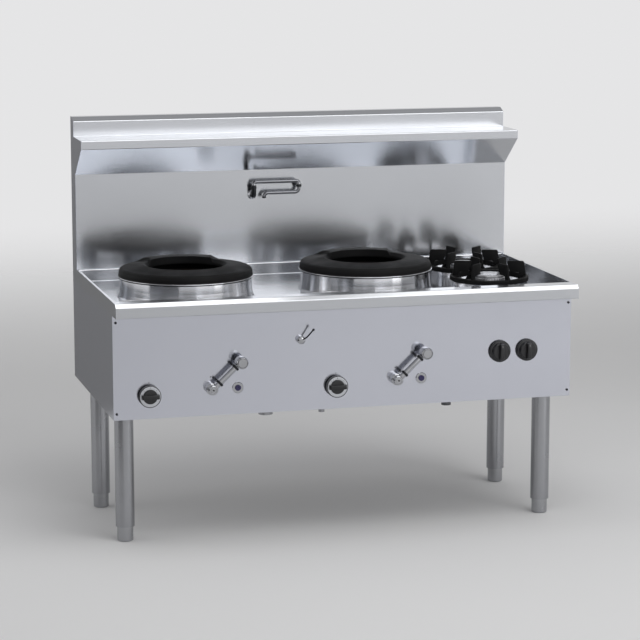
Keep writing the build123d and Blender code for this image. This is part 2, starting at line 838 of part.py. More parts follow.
def branch_pipes():
    """Pipes from the valves to the burners, and the small pilot pipes."""
    pipes = []
    for x in wok_centres.values():
        start = (x + lever_x, panel_back + lever_valve_length, body_bottom + lever_z)
        hub_front = wok_y - wok_burner_radius
        turn_y = hub_front - 3.5 * branch_bend
        run = [
            start,
            (start[0], turn_y - lever_x, start[2]),
            (x, turn_y, wok_inlet_z),
            (x, hub_front, wok_inlet_z),
        ]
        pipes.append(pipe(run, branch_bend / 2, branch_radius, branch_wall))
        pilot_z = body_bottom + pilot_knob_z
        pilot_run = [
            (x + pilot_knob_x, panel_back + pilot_valve_length, pilot_z),
            (x + pilot_knob_x, wok_y, pilot_z),
            (x - pilot_offset, wok_y, pilot_z),
            (x - pilot_offset, wok_y, cone_bottom + pilot_rise),
        ]
        pipes.append(pipe(pilot_run, 2 * pilot_pipe_radius, pilot_pipe_radius, 1.0))
    for name, y in burner_centres.items():
        x = burner_knob_x[name]
        z = body_bottom + burner_knob_z
        run = [
            (x, panel_back + burner_valve_length, z),
            (x, y, z),
            (open_burner_x, y, z),
            (open_burner_x, y, bowl_floor - head_throat_length),
        ]
        pipes.append(pipe(run, branch_bend / 2, branch_radius, branch_wall))
    return pipes


def valve(x, z, radius, length):
    """Valve body fixed behind the panel, bored for the control's stem."""
    body = through_panel(x, (panel_back, panel_back + length), z, radius)
    return body - through_panel(x, (panel_back - 1, panel_back + valve_stem_stub), z, stem_radius + running)


def pilot_valves():
    """Flame-failure valves behind the two pilot knobs."""
    places = [x + pilot_knob_x for x in wok_centres.values()]
    return [valve(x, body_bottom + pilot_knob_z, pilot_valve_radius, pilot_valve_length) for x in places]


def lever_valves():
    """Main gas valves behind the two levers."""
    places = [x + lever_x for x in wok_centres.values()]
    return [valve(x, body_bottom + lever_z, lever_valve_radius, lever_valve_length) for x in places]


def burner_valves():
    """Taps behind the two open-burner knobs."""
    places = burner_knob_x.values()
    return [valve(x, body_bottom + burner_knob_z, burner_valve_radius, burner_valve_length) for x in places]


# ---------------------------------------------------------------- controls
def stem(x, z):
    """Control stem from the panel's front face into the valve."""
    return through_panel(x, (panel_front - 2, panel_front + stem_engagement), z, stem_radius)


def outwards(z_profile, x, z):
    """Turned control whose outline is (radius, distance in front of the panel)."""
    return Pos(x, panel_front, z) * Rot(90, 0, 0) * turned(z_profile)


def pilot_stem(x):
    """Round stem that carries the pilot knob and is pushed into the valve with it."""
    y = (panel_front - pilot_push - pilot_stem_depth, panel_front + stem_engagement)
    return through_panel(x, y, body_bottom + pilot_knob_z, stem_radius)


def pilot_knob(x):
    """Black knob with a pointer bar, and the plain metal dial ring that is pressed on its face."""
    z = body_bottom + pilot_knob_z
    rim = pilot_knob_depth - pilot_dial_thickness
    rear = pilot_push + touch_gap
    body = outwards([
        (0, rear),
        (pilot_knob_radius - 3, rear),
        (pilot_knob_radius, rear + 3),
        (pilot_knob_radius, rim),
        (pilot_dial_inner_radius - touch_gap, rim),
        (pilot_dial_inner_radius - touch_gap, pilot_knob_depth + pilot_hub_rise - 2),
        (pilot_dial_inner_radius - touch_gap - 2, pilot_knob_depth + pilot_hub_rise),
        (0, pilot_knob_depth + pilot_hub_rise),
    ], x, z)
    face = panel_front - pilot_knob_depth
    half = pilot_grip_bar / 2
    bar_y = (face - pilot_grip_height, face - pilot_hub_rise + 2)
    body += block((x - pilot_grip_tail, x + pilot_grip_reach), bar_y, (z - half, z + half))
    bore_y = (panel_front - pilot_push - pilot_stem_depth - touch_gap, panel_front)
    body -= through_panel(x, bore_y, z, stem_radius + running)
    dial = outwards([
        (pilot_dial_inner_radius, rim),
        (pilot_knob_radius, rim),
        (pilot_knob_radius - 0.5, pilot_knob_depth),
        (pilot_dial_inner_radius, pilot_knob_depth),
    ], x, z)
    return [body, dial]


def gas_lever(x):
    """Lever: boss and cap on the valve stem, with a round rod that leans up and outwards."""
    z = body_bottom + lever_z
    boss = outwards([
        (0, touch_gap),
        (lever_boss_radius - 1, touch_gap),
        (lever_boss_radius, touch_gap + 1),
        (lever_boss_radius, lever_boss_depth - 2),
        (lever_boss_radius - 2, lever_boss_depth),
        (lever_cap_radius, lever_boss_depth),
        (lever_cap_radius, lever_cap_depth - 2),
        (lever_cap_radius - 2, lever_cap_depth),
        (0, lever_cap_depth),
    ], x, z)
    start, end = lever_ends(x)
    along = (end - start).normalized()
    rod_start = lever_cap_radius - 6
    rod_end = lever_length - grip_radius + grip_socket
    bars = [
        (lever_rod_radius, rod_start, rod_end),
        (lever_collar_radius, lever_collar_start, lever_collar_start + lever_collar_width),
        (lever_collar_radius, lever_length - grip_radius - lever_collar_gap - lever_collar_width,
         lever_length - grip_radius - lever_collar_gap),
    ]
    for radius, low, high in bars:
        boss += Plane(origin=start + along * low, z_dir=along) * Cylinder(
            radius, high - low, align=(Align.CENTER, Align.CENTER, Align.MIN)
        )
    return boss + stem(x, z)


def lever_ends(x):
    """Rod axis, parallel to the panel: from the boss's axis to the grip's axis."""
    turn = math.radians(lever_angle)
    start = Vector(x, panel_front - lever_rod_off_panel, body_bottom + lever_z)
    end = start + Vector(lever_length * math.cos(turn), 0, lever_length * math.sin(turn))
    return start, end


def lever_grip(x):
    """Round grip on the end of the rod, facing forwards, with a socket for the rod."""
    start, end = lever_ends(x)
    face = grip_off_panel + grip_depth
    outline = [
        (0, grip_off_panel),
        (grip_radius - 2, grip_off_panel),
        (grip_radius, grip_off_panel + 2),
        (grip_radius, face - grip_chamfer),
        (grip_radius - grip_chamfer, face),
        (0, face),
    ]
    grip = outwards(outline, end.X, end.Z)
    socket_end = end - (end - start).normalized() * (grip_radius - grip_socket)
    socket = Plane(origin=socket_end, z_dir=start - end) * Cylinder(
        lever_rod_radius + running, 2 * grip_radius, align=(Align.CENTER, Align.CENTER, Align.MIN)
    )
    return grip - socket


def igniter_bezels():
    """Fixed bezels of the two spark buttons, each with a barrel through the panel."""
    bezels = []
    for x in wok_centres.values():
        bore = igniter_button_radius + running
        bezels.append(outwards([
            (bore, igniter_bezel_depth),
            (igniter_bezel_radius - 1.5, igniter_bezel_depth),
            (igniter_bezel_radius, igniter_bezel_depth - 1.5),
            (igniter_bezel_radius, 0),
            (igniter_barrel_radius, 0),
            (igniter_barrel_radius, -igniter_barrel_length),
            (0, -igniter_barrel_length),
            (0, -igniter_barrel_length + igniter_back_wall),
            (bore, -igniter_barrel_length + igniter_back_wall),
        ], x + igniter_x, body_bottom + igniter_z))
    return bezels


def igniter_button(x):
    """Spark button that slides in its bezel."""
    proud = igniter_button_proud
    return outwards([
        (0, proud - igniter_button_length),
        (igniter_button_radius, proud - igniter_button_length),
        (igniter_button_radius, proud - 1),
        (igniter_button_radius - 1, proud),
        (0, proud),
    ], x + igniter_x, body_bottom + igniter_z)


def burner_knob(x):
    """Black knob with a round flange and a straight grip bar."""
    z = body_bottom + burner_knob_z
    low = burner_knob_gap
    mid = low + burner_knob_flange
    top = mid + burner_knob_body
    knob = outwards([
        (0, low),
        (burner_knob_radius - 1.5, low),
        (burner_knob_radius, low + 1.5),
        (burner_knob_radius, mid - 2),
        (burner_knob_radius - 2, mid),
        (burner_knob_waist_radius, mid + 1),
        (burner_knob_waist_radius - 2, top),
        (0, top),
    ], x, z)
    half = burner_knob_bar_width / 2
    reach = burner_knob_waist_radius - 1
    bar_y = (panel_front - top - burner_knob_bar_height, panel_front - top + 1)
    knob += block((x - half, x + half), bar_y, (z - reach, z + reach))
    neck = through_panel(x, (panel_front - low - 1, panel_front - 1), z, 2 * stem_radius)
    return knob + neck + stem(x, z)


# ---------------------------------------------------------------- water
def water_valve():
    """Quarter-turn water valve behind the panel with a round boss in front of it."""
    inlet_x = water_x + water_pipe_spacing
    body_z = (water_z - water_valve_radius, water_z + water_valve_radius)
    body_x = (water_x - water_valve_radius, inlet_x + water_pipe_radius + 4)
    body = block(body_x, (panel_back, panel_back + water_valve_length), body_z)
    bore_y = (panel_front - water_boss_depth - 1, panel_back + valve_stem_stub)
    collar_y = (panel_front - water_boss_depth, panel_front)
    collar = through_panel(water_x, collar_y, water_z, water_boss_radius)
    bore = through_panel(water_x, bore_y, water_z, stem_radius + running)
    return [body - bore, collar - bore]


def water_lever():
    """Small lever: hub on the valve stem and a thin curved rod with a ball at its end."""
    hub_y = (panel_front - water_boss_depth - water_hub_depth, panel_front - water_boss_depth - touch_gap)
    hub = through_panel(water_x, hub_y, water_z, water_boss_radius - 1)
    hub &= Pos(water_x, hub_y[0] + water_hub_dome, water_z) * Sphere(water_hub_dome)
    spindle_y = (hub_y[1] - 1, panel_front + stem_engagement)
    hub += through_panel(water_x, spindle_y, water_z, stem_radius)
    turn = math.radians(water_lever_angle)
    root_y = panel_front - water_boss_depth - water_hub_depth / 2
    tip = (
        water_x + water_lever_reach * math.cos(turn),
        panel_front - water_lever_off_panel,
        water_z + water_lever_reach * math.sin(turn),
    )
    run = [
        (water_x, root_y, water_z),
        (water_x + water_rod_elbow_side, (root_y + tip[1]) / 2, water_z + water_rod_elbow_rise),
        tip,
    ]
    path = FilletPolyline(*run, radius=water_rod_bend)
    rod = sweep(Plane(origin=path @ 0, z_dir=path % 0) * Circle(water_rod_radius), path=path)
    return hub + rod + Pos(*tip) * Sphere(water_ball_radius)


def water_pipes():
    """Copper pipes: from the inlet under the body to the valve, and from the valve to the tap."""
    inlet_x = right_wok_x - water_inlet_from_wok
    valve_back = panel_back + water_valve_length
    branch_x = water_x + water_pipe_spacing
    run = [
        (inlet_x, inlet_y, inlet_end),
        (inlet_x, inlet_y, water_z),
        (branch_x, inlet_y, water_z),
        (branch_x, valve_back, water_z),
    ]
    supply = pipe(run, water_pipe_bend, water_pipe_radius, water_pipe_wall)
    thread_top = inlet_end + water_inlet_thread
    thread = upright(inlet_x, inlet_y, (inlet_end, thread_top), water_inlet_radius)
    thread -= upright(inlet_x, inlet_y, (inlet_end - 1, thread_top + 1), water_pipe_radius)
    riser_y = back - riser_inset
    riser = [
        (tap_x, valve_back, water_z),
        (tap_x, riser_y, water_z),
        (tap_x, riser_y, tap_neck_z),
        (tap_x, well_back + panel_sheet, tap_neck_z),
    ]
    return [supply + thread, pipe(riser, riser_bend, water_pipe_radius, water_pipe_wall)]


def tap_body():
    """Wall flange, neck and upright of the tap, with a spigot for the upper arm."""
    hub_bottom = tap_z - tap_hub_height / 2
    base = tap_neck_z - tap_post_radius
    body = upright(tap_x, tap_y, (base, hub_bottom - touch_gap), tap_post_radius)
    body += upright(tap_x, tap_y, (base, hub_bottom + tap_spigot_length), tap_spigot_radius)
    flange_y = (well_back - tap_flange_thickness, well_back)
    body += through_panel(tap_x, flange_y, tap_neck_z, tap_flange_radius)
    body += through_panel(tap_x, (tap_y, well_back + panel_sheet), tap_neck_z, tap_post_radius)
    return body


def tap_upper_arm():
    """Upper arm: a hub that turns on the tap's spigot, a straight tube and a spigot for the spout."""
    hub_z = (tap_z - tap_hub_height / 2, tap_z + tap_hub_height / 2)
    elbow_x = tap_x + tap_reach
    arm = upright(tap_x, tap_y, hub_z, tap_post_radius)
    arm += upright(elbow_x, tap_y, hub_z, tap_hub_radius)
    arm += sideways((tap_x, elbow_x), tap_y, tap_z, tap_tube_radius)
    arm += upright(elbow_x, tap_y, (hub_z[0] - tap_spigot_length, hub_z[1]), tap_spigot_radius)
    socket = (hub_z[0] - 1, hub_z[0] + tap_spigot_length + touch_gap)
    return arm - upright(tap_x, tap_y, socket, tap_spigot_radius + running)


def tap_spout():
    """Lower arm: a hub under the upper arm's end, a tube back and a turned-down outlet."""
    elbow_x = tap_x + tap_reach
    hub_top = tap_z - tap_hub_height / 2 - touch_gap
    hub_z = (spout_z - tap_hub_height / 2, hub_top)
    spout = upright(elbow_x, tap_y, hub_z, tap_hub_radius)
    outlet_x = elbow_x - spout_reach
    outlet_end = spout_z - spout_drop - spout_nozzle_length
    run = [(elbow_x, tap_y, spout_z), (outlet_x, tap_y, spout_z), (outlet_x, tap_y, outlet_end)]
    path = FilletPolyline(*run, radius=spout_bend)
    spout += sweep(Plane(origin=path @ 0, z_dir=path % 0) * Circle(tap_tube_radius - 0.5), path=path)
    nozzle_z = (outlet_end, outlet_end + spout_nozzle_length)
    spout += upright(outlet_x, tap_y, nozzle_z, spout_nozzle_radius)
    spout -= upright(outlet_x, tap_y, (nozzle_z[0] - 1, nozzle_z[1]), tap_tube_radius - 2)
    bore = (hub_top - tap_spigot_length - touch_gap, hub_top + 1)
    return spout - upright(elbow_x, tap_y, bore, tap_spigot_radius + running)


# ---------------------------------------------------------------- drain
drain_place = (between_woks - drain_before_middle, well_back - drain_from_splash)


def drain_outlet():
    """Waste fitting with a drilled strainer plate and a tail pipe that steps sideways."""
    x, y = drain_place
    top = well_floor
    step_z = deck_under - drain_step_top
    run = [
        (x, y, top),
        (x, y, step_z),
        (x + drain_step, y, step_z - drain_step_height),
        (x + drain_step, y, inlet_end),
    ]
    tail = pipe(run, drain_bend, drain_radius, drain_wall)
    end_z = (inlet_end, inlet_end + drain_end_length)
    sleeve = upright(x + drain_step, y, end_z, drain_end_radius)
    tail += sleeve - upright(x + drain_step, y, (end_z[0] - 1, end_z[1] + 1), drain_radius - drain_wall)
    rim = upright(x, y, (top, top + drain_flange_thickness), drain_flange_radius)
    for u, v in on_circles(strainer_circles):
        rim -= upright(x + u, y + v, (top - 1, top + drain_flange_thickness + 1), strainer_hole_radius)
    return tail + rim


# ---------------------------------------------------------------- fasteners
screw_places = [
    (side * (side_face - screw_inset), z)
    for side in (-1, 1)
    for z in (body_bottom + screw_above_bottom, lip_bottom - screw_below_lip)
]


def panel_screws():
    """Pan-head screws that hold the front panel to the end panels."""
    screws = []
    for x, z in screw_places:
        head = through_panel(x, (panel_front - screw_head_height, panel_front), z, screw_head_radius)
        shank = through_panel(x, (panel_front - 1, panel_front + screw_length), z, screw_shank_radius)
        screws.append(head + shank)
    return screws


# ---------------------------------------------------------------- the nodes
def build():
    """Every node of the range by name; a value is one solid or a list of separate solids."""
    nodes = {
        "deck": deck(),
        "front_panel": front_panel(),
        "left_side_panel": side_panel(-1),
        "right_side_panel": side_panel(1),
        "rear_panel": rear_panel(),
        "splashback": splashback(),
        "end_caps": end_caps(),
        "long_rails": long_rails(),
        "side_rails": side_rails(),
        "cross_rails": cross_rails(),
        "gas_manifold": gas_manifold(),
        "branch_pipes": branch_pipes(),
        "pilot_valves": pilot_valves(),
        "lever_valves": lever_valves(),
        "burner_valves": burner_valves(),
        "igniter_bezels": igniter_bezels(),
        "water_valve": water_valve(),
        "water_lever": water_lever(),
        "water_pipes": water_pipes(),
        "tap_body": tap_body(),
        "tap_upper_arm": tap_upper_arm(),
        "tap_spout": tap_spout(),
        "drain_outlet": drain_outlet(),
        "panel_screws": panel_screws(),
    }
    leg_x = side_face - leg_inset_side
    leg_rows = {"front": front + leg_inset_front, "rear": back - leg_inset_rear}
    for row, y in leg_rows.items():
        for side, x in (("left", -leg_x), ("right", leg_x)):
            nodes[f"{row}_{side}_leg"] = leg(x, y)
            nodes[f"{row}_{side}_foot"] = foot(x, y)
    for side, x in wok_centres.items():
        nodes[f"{side}_wok_chamber"] = wok_chamber(x)
        nodes[f"{side}_wok_skirt"] = wok_skirt(x)
        nodes[f"{side}_wok_ring"] = wok_ring(x)
        nodes[f"{side}_wok_burner"] = wok_burner(x)
        nodes[f"{side}_pilot_stem"] = pilot_stem(x + pilot_knob_x)
        nodes[f"{side}_pilot_knob"] = pilot_knob(x + pilot_knob_x)
        nodes[f"{side}_gas_lever"] = gas_lever(x + lever_x)
        nodes[f"{side}_lever_grip"] = lever_grip(x + lever_x)
        nodes[f"{side}_igniter_button"] = igniter_button(x)
    for row, y in burner_centres.items():
        nodes[f"{row}_burner_bowl"] = burner_bowl(y)
        nodes[f"{row}_burner_head"] = burner_head(y)
        nodes[f"{row}_burner_cap"] = burner_cap(y)
        nodes[f"{row}_trivet"] = trivet(y)
        nodes[f"{row}_burner_knob"] = burner_knob(burner_knob_x[row])
    return nodes


def main():
    """Write one STEP file per node."""
    os.makedirs("parts", exist_ok=True)
    for name, shape in build().items():
        solids = shape if isinstance(shape, list) else [shape]
        whole = Compound(children=[solid for entry in solids for solid in entry.solids()])
        export_step(whole, f"parts/{name}.step")


main()
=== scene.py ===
"""Looks of a free-standing wok range: finishes, detailed pieces, studio light and camera.

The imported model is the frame. Folded sheet, tubes and pipes keep their own meshes and get a
finish. Castings, knobs, levers and the tap are modelled again with rounded edges and small
details, each in the place of the part that it stands for. Sizes are in millimetres in the
classes of the range, and in metres in the meshes and the studio. +X is to the right, +Y to the
back, +Z up.
"""

import logging
import math
from dataclasses import dataclass, replace
from enum import Enum
from functools import cache
from typing import Callable, ClassVar, Iterable, Sequence

import bmesh
import bpy
from mathutils import Matrix, Vector


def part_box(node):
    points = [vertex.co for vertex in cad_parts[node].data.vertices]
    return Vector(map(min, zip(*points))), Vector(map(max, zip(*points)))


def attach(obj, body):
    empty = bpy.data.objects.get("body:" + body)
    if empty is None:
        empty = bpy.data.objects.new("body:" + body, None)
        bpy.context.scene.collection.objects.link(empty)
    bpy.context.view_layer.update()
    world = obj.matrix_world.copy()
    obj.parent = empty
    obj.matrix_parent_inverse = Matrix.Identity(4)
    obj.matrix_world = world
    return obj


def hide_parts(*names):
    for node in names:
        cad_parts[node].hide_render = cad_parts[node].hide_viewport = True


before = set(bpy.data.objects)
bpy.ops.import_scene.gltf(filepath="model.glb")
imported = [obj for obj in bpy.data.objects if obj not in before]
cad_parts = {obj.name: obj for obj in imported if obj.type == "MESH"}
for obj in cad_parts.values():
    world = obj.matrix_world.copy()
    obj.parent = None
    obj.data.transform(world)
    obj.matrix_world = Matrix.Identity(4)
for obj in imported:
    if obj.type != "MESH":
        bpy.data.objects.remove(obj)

LOG = logging.getLogger("wok_range")
MM = 0.001
QUARTER = math.radians(90)

Tree = bpy.types.NodeTree
Node = bpy.types.Node
Socket = bpy.types.NodeSocket
Thing = bpy.types.Object
Mesh = bmesh.types.BMesh
Point = tuple[float, float]
Spot = tuple[float, float, float]
Outline = Sequence[Spot]


class Slot(Enum):
    """Finish slots of the record."""

    POLISHED = "polished_stainless"
    CASTING = "cast_iron"
    ALLOY = "burner_alloy"
    KNOB = "black_plastic"
    CHROME = "chrome"


class Facing(Enum):
    """Which way the axis of a turned piece points: its angle about X from upright."""

    UP = 0.0
    FRONT = QUARTER


# ------------------------------------------------------------------ materials
# Values that nearly all of a noise lies between, and the roughness of its finer layers.
NOISE_RANGE = (0.3, 0.7)
NOISE_ROUGHNESS = 0.55
SLOW_DETAIL = 3.0
FINE_DETAIL = 2.0
# Sockets of a colour mix and of a vector mix: the two values that go in, and the result.
COLOUR_A, COLOUR_B, COLOUR_OUT = 6, 7, 2
VECTOR_A, VECTOR_B, VECTOR_OUT = 4, 5, 1


def linear(colour: str) -> tuple[float, float, float, float]:
    """Turn an sRGB hex colour into linear light.

    Args:
        colour: Six hex digits.

    Returns:
        Linear red, green and blue, and an alpha of 1.
    """
    parts = [int(colour[k:k + 2], 16) / 255 for k in (0, 2, 4)]
    light = [c / 12.92 if c <= 0.04045 else ((c + 0.055) / 1.055) ** 2.4 for c in parts]
    return light[0], light[1], light[2], 1.0


def add_node(tree: Tree, kind: str, inputs: dict | None = None, **settings: object) -> Node:
    """Add one node with its settings, and a value or a link for each input that is named.

    Args:
        tree: Tree that gets the node.
        kind: Blender's name of the node type.
        inputs: Value or output socket by input name or index.
        **settings: Properties of the node itself.

    Returns:
        The new node.
    """
    node = tree.nodes.new(kind)
    for name, value in settings.items():
        setattr(node, name, value)
    for key, value in (inputs or {}).items():
        if isinstance(value, Socket):
            tree.links.new(value, node.inputs[key])
        else:
            node.inputs[key].default_value = value
    return node


@dataclass(frozen=True)
class Finish:
    """A surface with a fine grain, a slow change of tone and a slow change of gloss.

    Attributes:
        name: The real material and how its surface was made.
        colour: Its colour as sRGB hex.
        shade: The colour that it drifts towards, as sRGB hex.
        metallic: 1 for metal and 0 for anything else.
        roughness: Mean roughness.
        gloss_drift: How far the roughness drifts either way.
        drift_mm: Size of the slow changes.
        grain_mm: Size of the grain across it and along it.
        grain_depth_mm: Height of the grain.
        grain_tone: How far the grain shifts the colour, from 0 to 1.
    """

    name: str
    colour: str
    shade: str
    metallic: float = 1.0
    roughness: float = 0.3
    gloss_drift: float = 0.04
    drift_mm: float = 20.0
    grain_mm: Point = (0.8, 0.8)
    grain_depth_mm: float = 0.004
    grain_tone: float = 0.3

    def build(self) -> bpy.types.Material:
        """Make the material with its node tree."""
        material = bpy.data.materials.new(self.name)
        material.use_nodes = True
        tree = material.node_tree
        tree.nodes.clear()
        place = add_node(tree, "ShaderNodeTexCoord").outputs["Object"]
        drift = self.noise(tree, self.scaled(tree, place, self.drift_mm), SLOW_DETAIL)
        grain = self.grain(tree, place)
        rough = add_node(tree, "ShaderNodeMapRange", {
            "Value": drift, "From Min": NOISE_RANGE[0], "From Max": NOISE_RANGE[1],
            "To Min": self.roughness - self.gloss_drift,
            "To Max": self.roughness + self.gloss_drift,
        })
        relief = add_node(tree, "ShaderNodeBump", {
            "Strength": 1.0, "Distance": self.grain_depth_mm * MM, "Height": grain,
        })
        shader = add_node(tree, "ShaderNodeBsdfPrincipled", {
            "Metallic": self.metallic, "Base Color": self.tone(tree, place, drift, grain),
            "Roughness": rough.outputs["Result"], "Normal": relief.outputs["Normal"],
        })
        self.polish(tree, shader)
        surface = self.surface(tree, place, shader)
        add_node(tree, "ShaderNodeOutputMaterial", {"Surface": surface}, is_active_output=True)
        return material

    def surface(self, tree: Tree, place: Socket, shader: Node) -> Socket:
        """The whole surface; the plain finish is the shader alone."""
        return shader.outputs["BSDF"]

    def scaled(self, tree: Tree, place: Socket, *sizes_mm: float) -> Socket:
        """Stretch the place so that one unit is a pattern's real size along each axis.

        Args:
            tree: Tree that gets the node.
            place: Point on the surface, in metres.
            *sizes_mm: Pattern size along X, Y and Z, or one size for all three.

        Returns:
            The stretched point.
        """
        sizes = sizes_mm if len(sizes_mm) == 3 else sizes_mm * 3
        scale = tuple(1 / (size * MM) for size in sizes)
        return add_node(
            tree, "ShaderNodeMapping", {"Scale": scale, "Vector": place}
        ).outputs["Vector"]

    def noise(self, tree: Tree, place: Socket, detail: float) -> Socket:
        """Smooth noise whose features are one unit of the given place across."""
        return add_node(tree, "ShaderNodeTexNoise", {
            "Vector": place, "Scale": 1.0, "Detail": detail, "Roughness": NOISE_ROUGHNESS,
        }).outputs["Fac"]

    def grain(self, tree: Tree, place: Socket) -> Socket:
        """Height of the fine grain."""
        across, along = self.grain_mm
        return self.noise(tree, self.scaled(tree, place, along, across, across), FINE_DETAIL)

    def tone(self, tree: Tree, place: Socket, drift: Socket, grain: Socket) -> Socket:
        """Colour that drifts slowly and follows the grain a little."""
        share = add_node(
            tree, "ShaderNodeMix", {"Factor": self.grain_tone, "A": drift, "B": grain},
            data_type="FLOAT",
        )
        return self.between(tree, share.outputs["Result"])

    def between(self, tree: Tree, share: Socket) -> Socket:
        """Colour on the way from the finish's colour to its shade."""
        mix = add_node(tree, "ShaderNodeMix", {
            "Factor": share, COLOUR_A: linear(self.colour), COLOUR_B: linear(self.shade),
        }, data_type="RGBA")
        return mix.outputs[COLOUR_OUT]

    def polish(self, tree: Tree, shader: Node) -> None:
        """Last settings of the shader; the plain finish has none."""


@dataclass(frozen=True)
class BrushedSheet(Finish):
    """Sheet with a straight brushed grain that runs level, whichever way the sheet faces.

    Attributes:
        anisotropy: How much further reflections spread across the brush lines.
        flat_from: Size of the normal's Z part from which a face counts as flat.
        flat_lean: X part of the brush direction that decides it on flat faces.
    """

    anisotropy: float = 0.6
    flat_from: float = 0.7
    flat_lean: float = 0.01

    def grain(self, tree: Tree, place: Socket) -> Socket:
        """Height of the brush lines: level on upright faces, and along X on flat ones."""
        across, along = self.grain_mm
        normal = add_node(tree, "ShaderNodeNewGeometry").outputs["True Normal"]
        parts = add_node(tree, "ShaderNodeSeparateXYZ", {"Vector": normal})
        size = add_node(tree, "ShaderNodeMath", {0: parts.outputs["Z"]}, operation="ABSOLUTE")
        flat = add_node(
            tree, "ShaderNodeMath", {0: size.outputs[0], 1: self.flat_from},
            operation="GREATER_THAN",
        )
        pick = add_node(tree, "ShaderNodeMix", {
            "Factor": flat.outputs[0],
            VECTOR_A: self.scaled(tree, place, along, along, across),
            VECTOR_B: self.scaled(tree, place, along, across, across),
        }, data_type="VECTOR")
        return self.noise(tree, pick.outputs[VECTOR_OUT], FINE_DETAIL)

    def polish(self, tree: Tree, shader: Node) -> None:
        """Spread reflections across the brush lines, which run level along the surface."""
        shader.inputs["Anisotropic"].default_value = self.anisotropy
        shader.inputs["Anisotropic Rotation"].default_value = 0.25
        normal = add_node(tree, "ShaderNodeNewGeometry").outputs["Normal"]
        level = add_node(
            tree, "ShaderNodeVectorMath", {0: normal, 1: (0.0, 0.0, 1.0)},
            operation="CROSS_PRODUCT",
        )
        lines = add_node(
            tree, "ShaderNodeVectorMath", {0: level.outputs[0], 1: (self.flat_lean, 0.0, 0.0)},
            operation="ADD",
        )
        tree.links.new(lines.outputs[0], shader.inputs["Tangent"])


@dataclass(frozen=True)
class DullCoat(Finish):
    """Rough surface that gives back little light at any angle."""

    sheen_level: float = 0.16

    def polish(self, tree: Tree, shader: Node) -> None:
        """Weaken the mirror part of the surface."""
        shader.inputs["Specular IOR Level"].default_value = self.sheen_level


@dataclass(frozen=True)
class FadingFloor(Finish):
    """Studio floor that thins out behind the object and far away, with no horizon line."""

    fade_m: Point = (4.8, 10.5)
    rear_fade_m: Point = (1.6, 7.5)

    def surface(self, tree: Tree, place: Socket, shader: Node) -> Socket:
        """Mix the floor with nothing by its distance from the middle and to the back."""
        far = add_node(tree, "ShaderNodeVectorMath", {0: place}, operation="LENGTH")
        back = add_node(tree, "ShaderNodeSeparateXYZ", {"Vector": place})
        shares = []
        for value, (start, end) in (
            (far.outputs["Value"], self.fade_m), (back.outputs["Y"], self.rear_fade_m)
        ):
            shares.append(add_node(
                tree, "ShaderNodeMapRange", {"Value": value, "From Min": start, "From Max": end},
                interpolation_type="SMOOTHSTEP",
            ).outputs["Result"])
        share = add_node(
            tree, "ShaderNodeMath", {0: shares[0], 1: shares[1]}, operation="MAXIMUM"
        )
        clear = add_node(tree, "ShaderNodeBsdfTransparent").outputs["BSDF"]
        return add_node(tree, "ShaderNodeMixShader", {
            0: share.outputs[0], 1: shader.outputs["BSDF"], 2: clear,
        }).outputs[0]


@dataclass(frozen=True)
class Spangle(Finish):
    """Hot-dip zinc with crystals that differ in tone."""

    crystal_mm: float = 14.0

    def tone(self, tree: Tree, place: Socket, drift: Socket, grain: Socket) -> Socket:
        """One tone for each crystal."""
        cells = add_node(tree, "ShaderNodeTexVoronoi", {
            "Vector": self.scaled(tree, place, self.crystal_mm), "Scale": 1.0,
        })
        parts = add_node(tree, "ShaderNodeSeparateColor", {"Color": cells.outputs["Color"]})
        return self.between(tree, parts.outputs[0])


@dataclass(frozen=True)
class HeatTinted(Finish):
    """Steel that has been hot: straw and blue bands that follow the height."""

    straw: str = "3A3128"
    straw_at: float = 0.45
    blue: str = "23272F"
    blue_at: float = 0.75
    band_mm: float = 90.0

    def tone(self, tree: Tree, place: Socket, drift: Socket, grain: Socket) -> Socket:
        """Colour bands that wander with the slow noise."""
        parts = add_node(
            tree, "ShaderNodeSeparateXYZ", {"Vector": self.scaled(tree, place, self.band_mm)}
        )
        height = add_node(
            tree, "ShaderNodeMath", {0: parts.outputs["Z"], 1: drift}, operation="ADD"
        )
        wave = add_node(
            tree, "ShaderNodeMath", {0: height.outputs[0], 1: 1.0}, operation="PINGPONG"
        )
        ramp = add_node(tree, "ShaderNodeValToRGB", {"Fac": wave.outputs[0]})
        stops = ramp.color_ramp.elements
        stops[0].color = linear(self.colour)
        stops[1].color = linear(self.shade)
        stops.new(self.straw_at).color = linear(self.straw)
        stops.new(self.blue_at).color = linear(self.blue)
        return ramp.outputs["Color"]


# Brushed 304 sheet: a soft mirror, blurred across level brush lines a few tenths of a
# millimetre apart; the lines are drawn coarser than they are so that they show at all.
BRUSHED_STEEL = BrushedSheet(
    "Stainless_304_sheet_brushed", "CFD1DA", "C6C8D1", roughness=0.16, gloss_drift=0.02,
    drift_mm=420.0, grain_mm=(0.9, 60.0), grain_tone=0.25,
)
# The same brushed sheet on the deck and splashback, in a more neutral grey than the panels.
TOP_STEEL = replace(
    BRUSHED_STEEL, name="Stainless_304_worktop_brushed", colour="CDCFD3", shade="C4C6CA"
)
# Spun 304 band, brushed round its height: tall soft reflections with clear sides.
BAND_STEEL = BrushedSheet(
    "Stainless_304_band_brushed", "D6D7DA", "D0D1D4", roughness=0.19, gloss_drift=0.01,
    drift_mm=300.0, grain_mm=(1.1, 90.0), grain_depth_mm=0.0008, grain_tone=0.1, anisotropy=0.9,
)
# Bright-annealed 304 pressing, buffed after forming: an almost clear mirror.
POLISHED_STEEL = Finish(
    "Stainless_304_pressing_buffed", "CFCFD2", "C4C5C9", roughness=0.09, gloss_drift=0.02,
    drift_mm=90.0, grain_mm=(30.0, 120.0), grain_depth_mm=0.02, grain_tone=0.2,
)
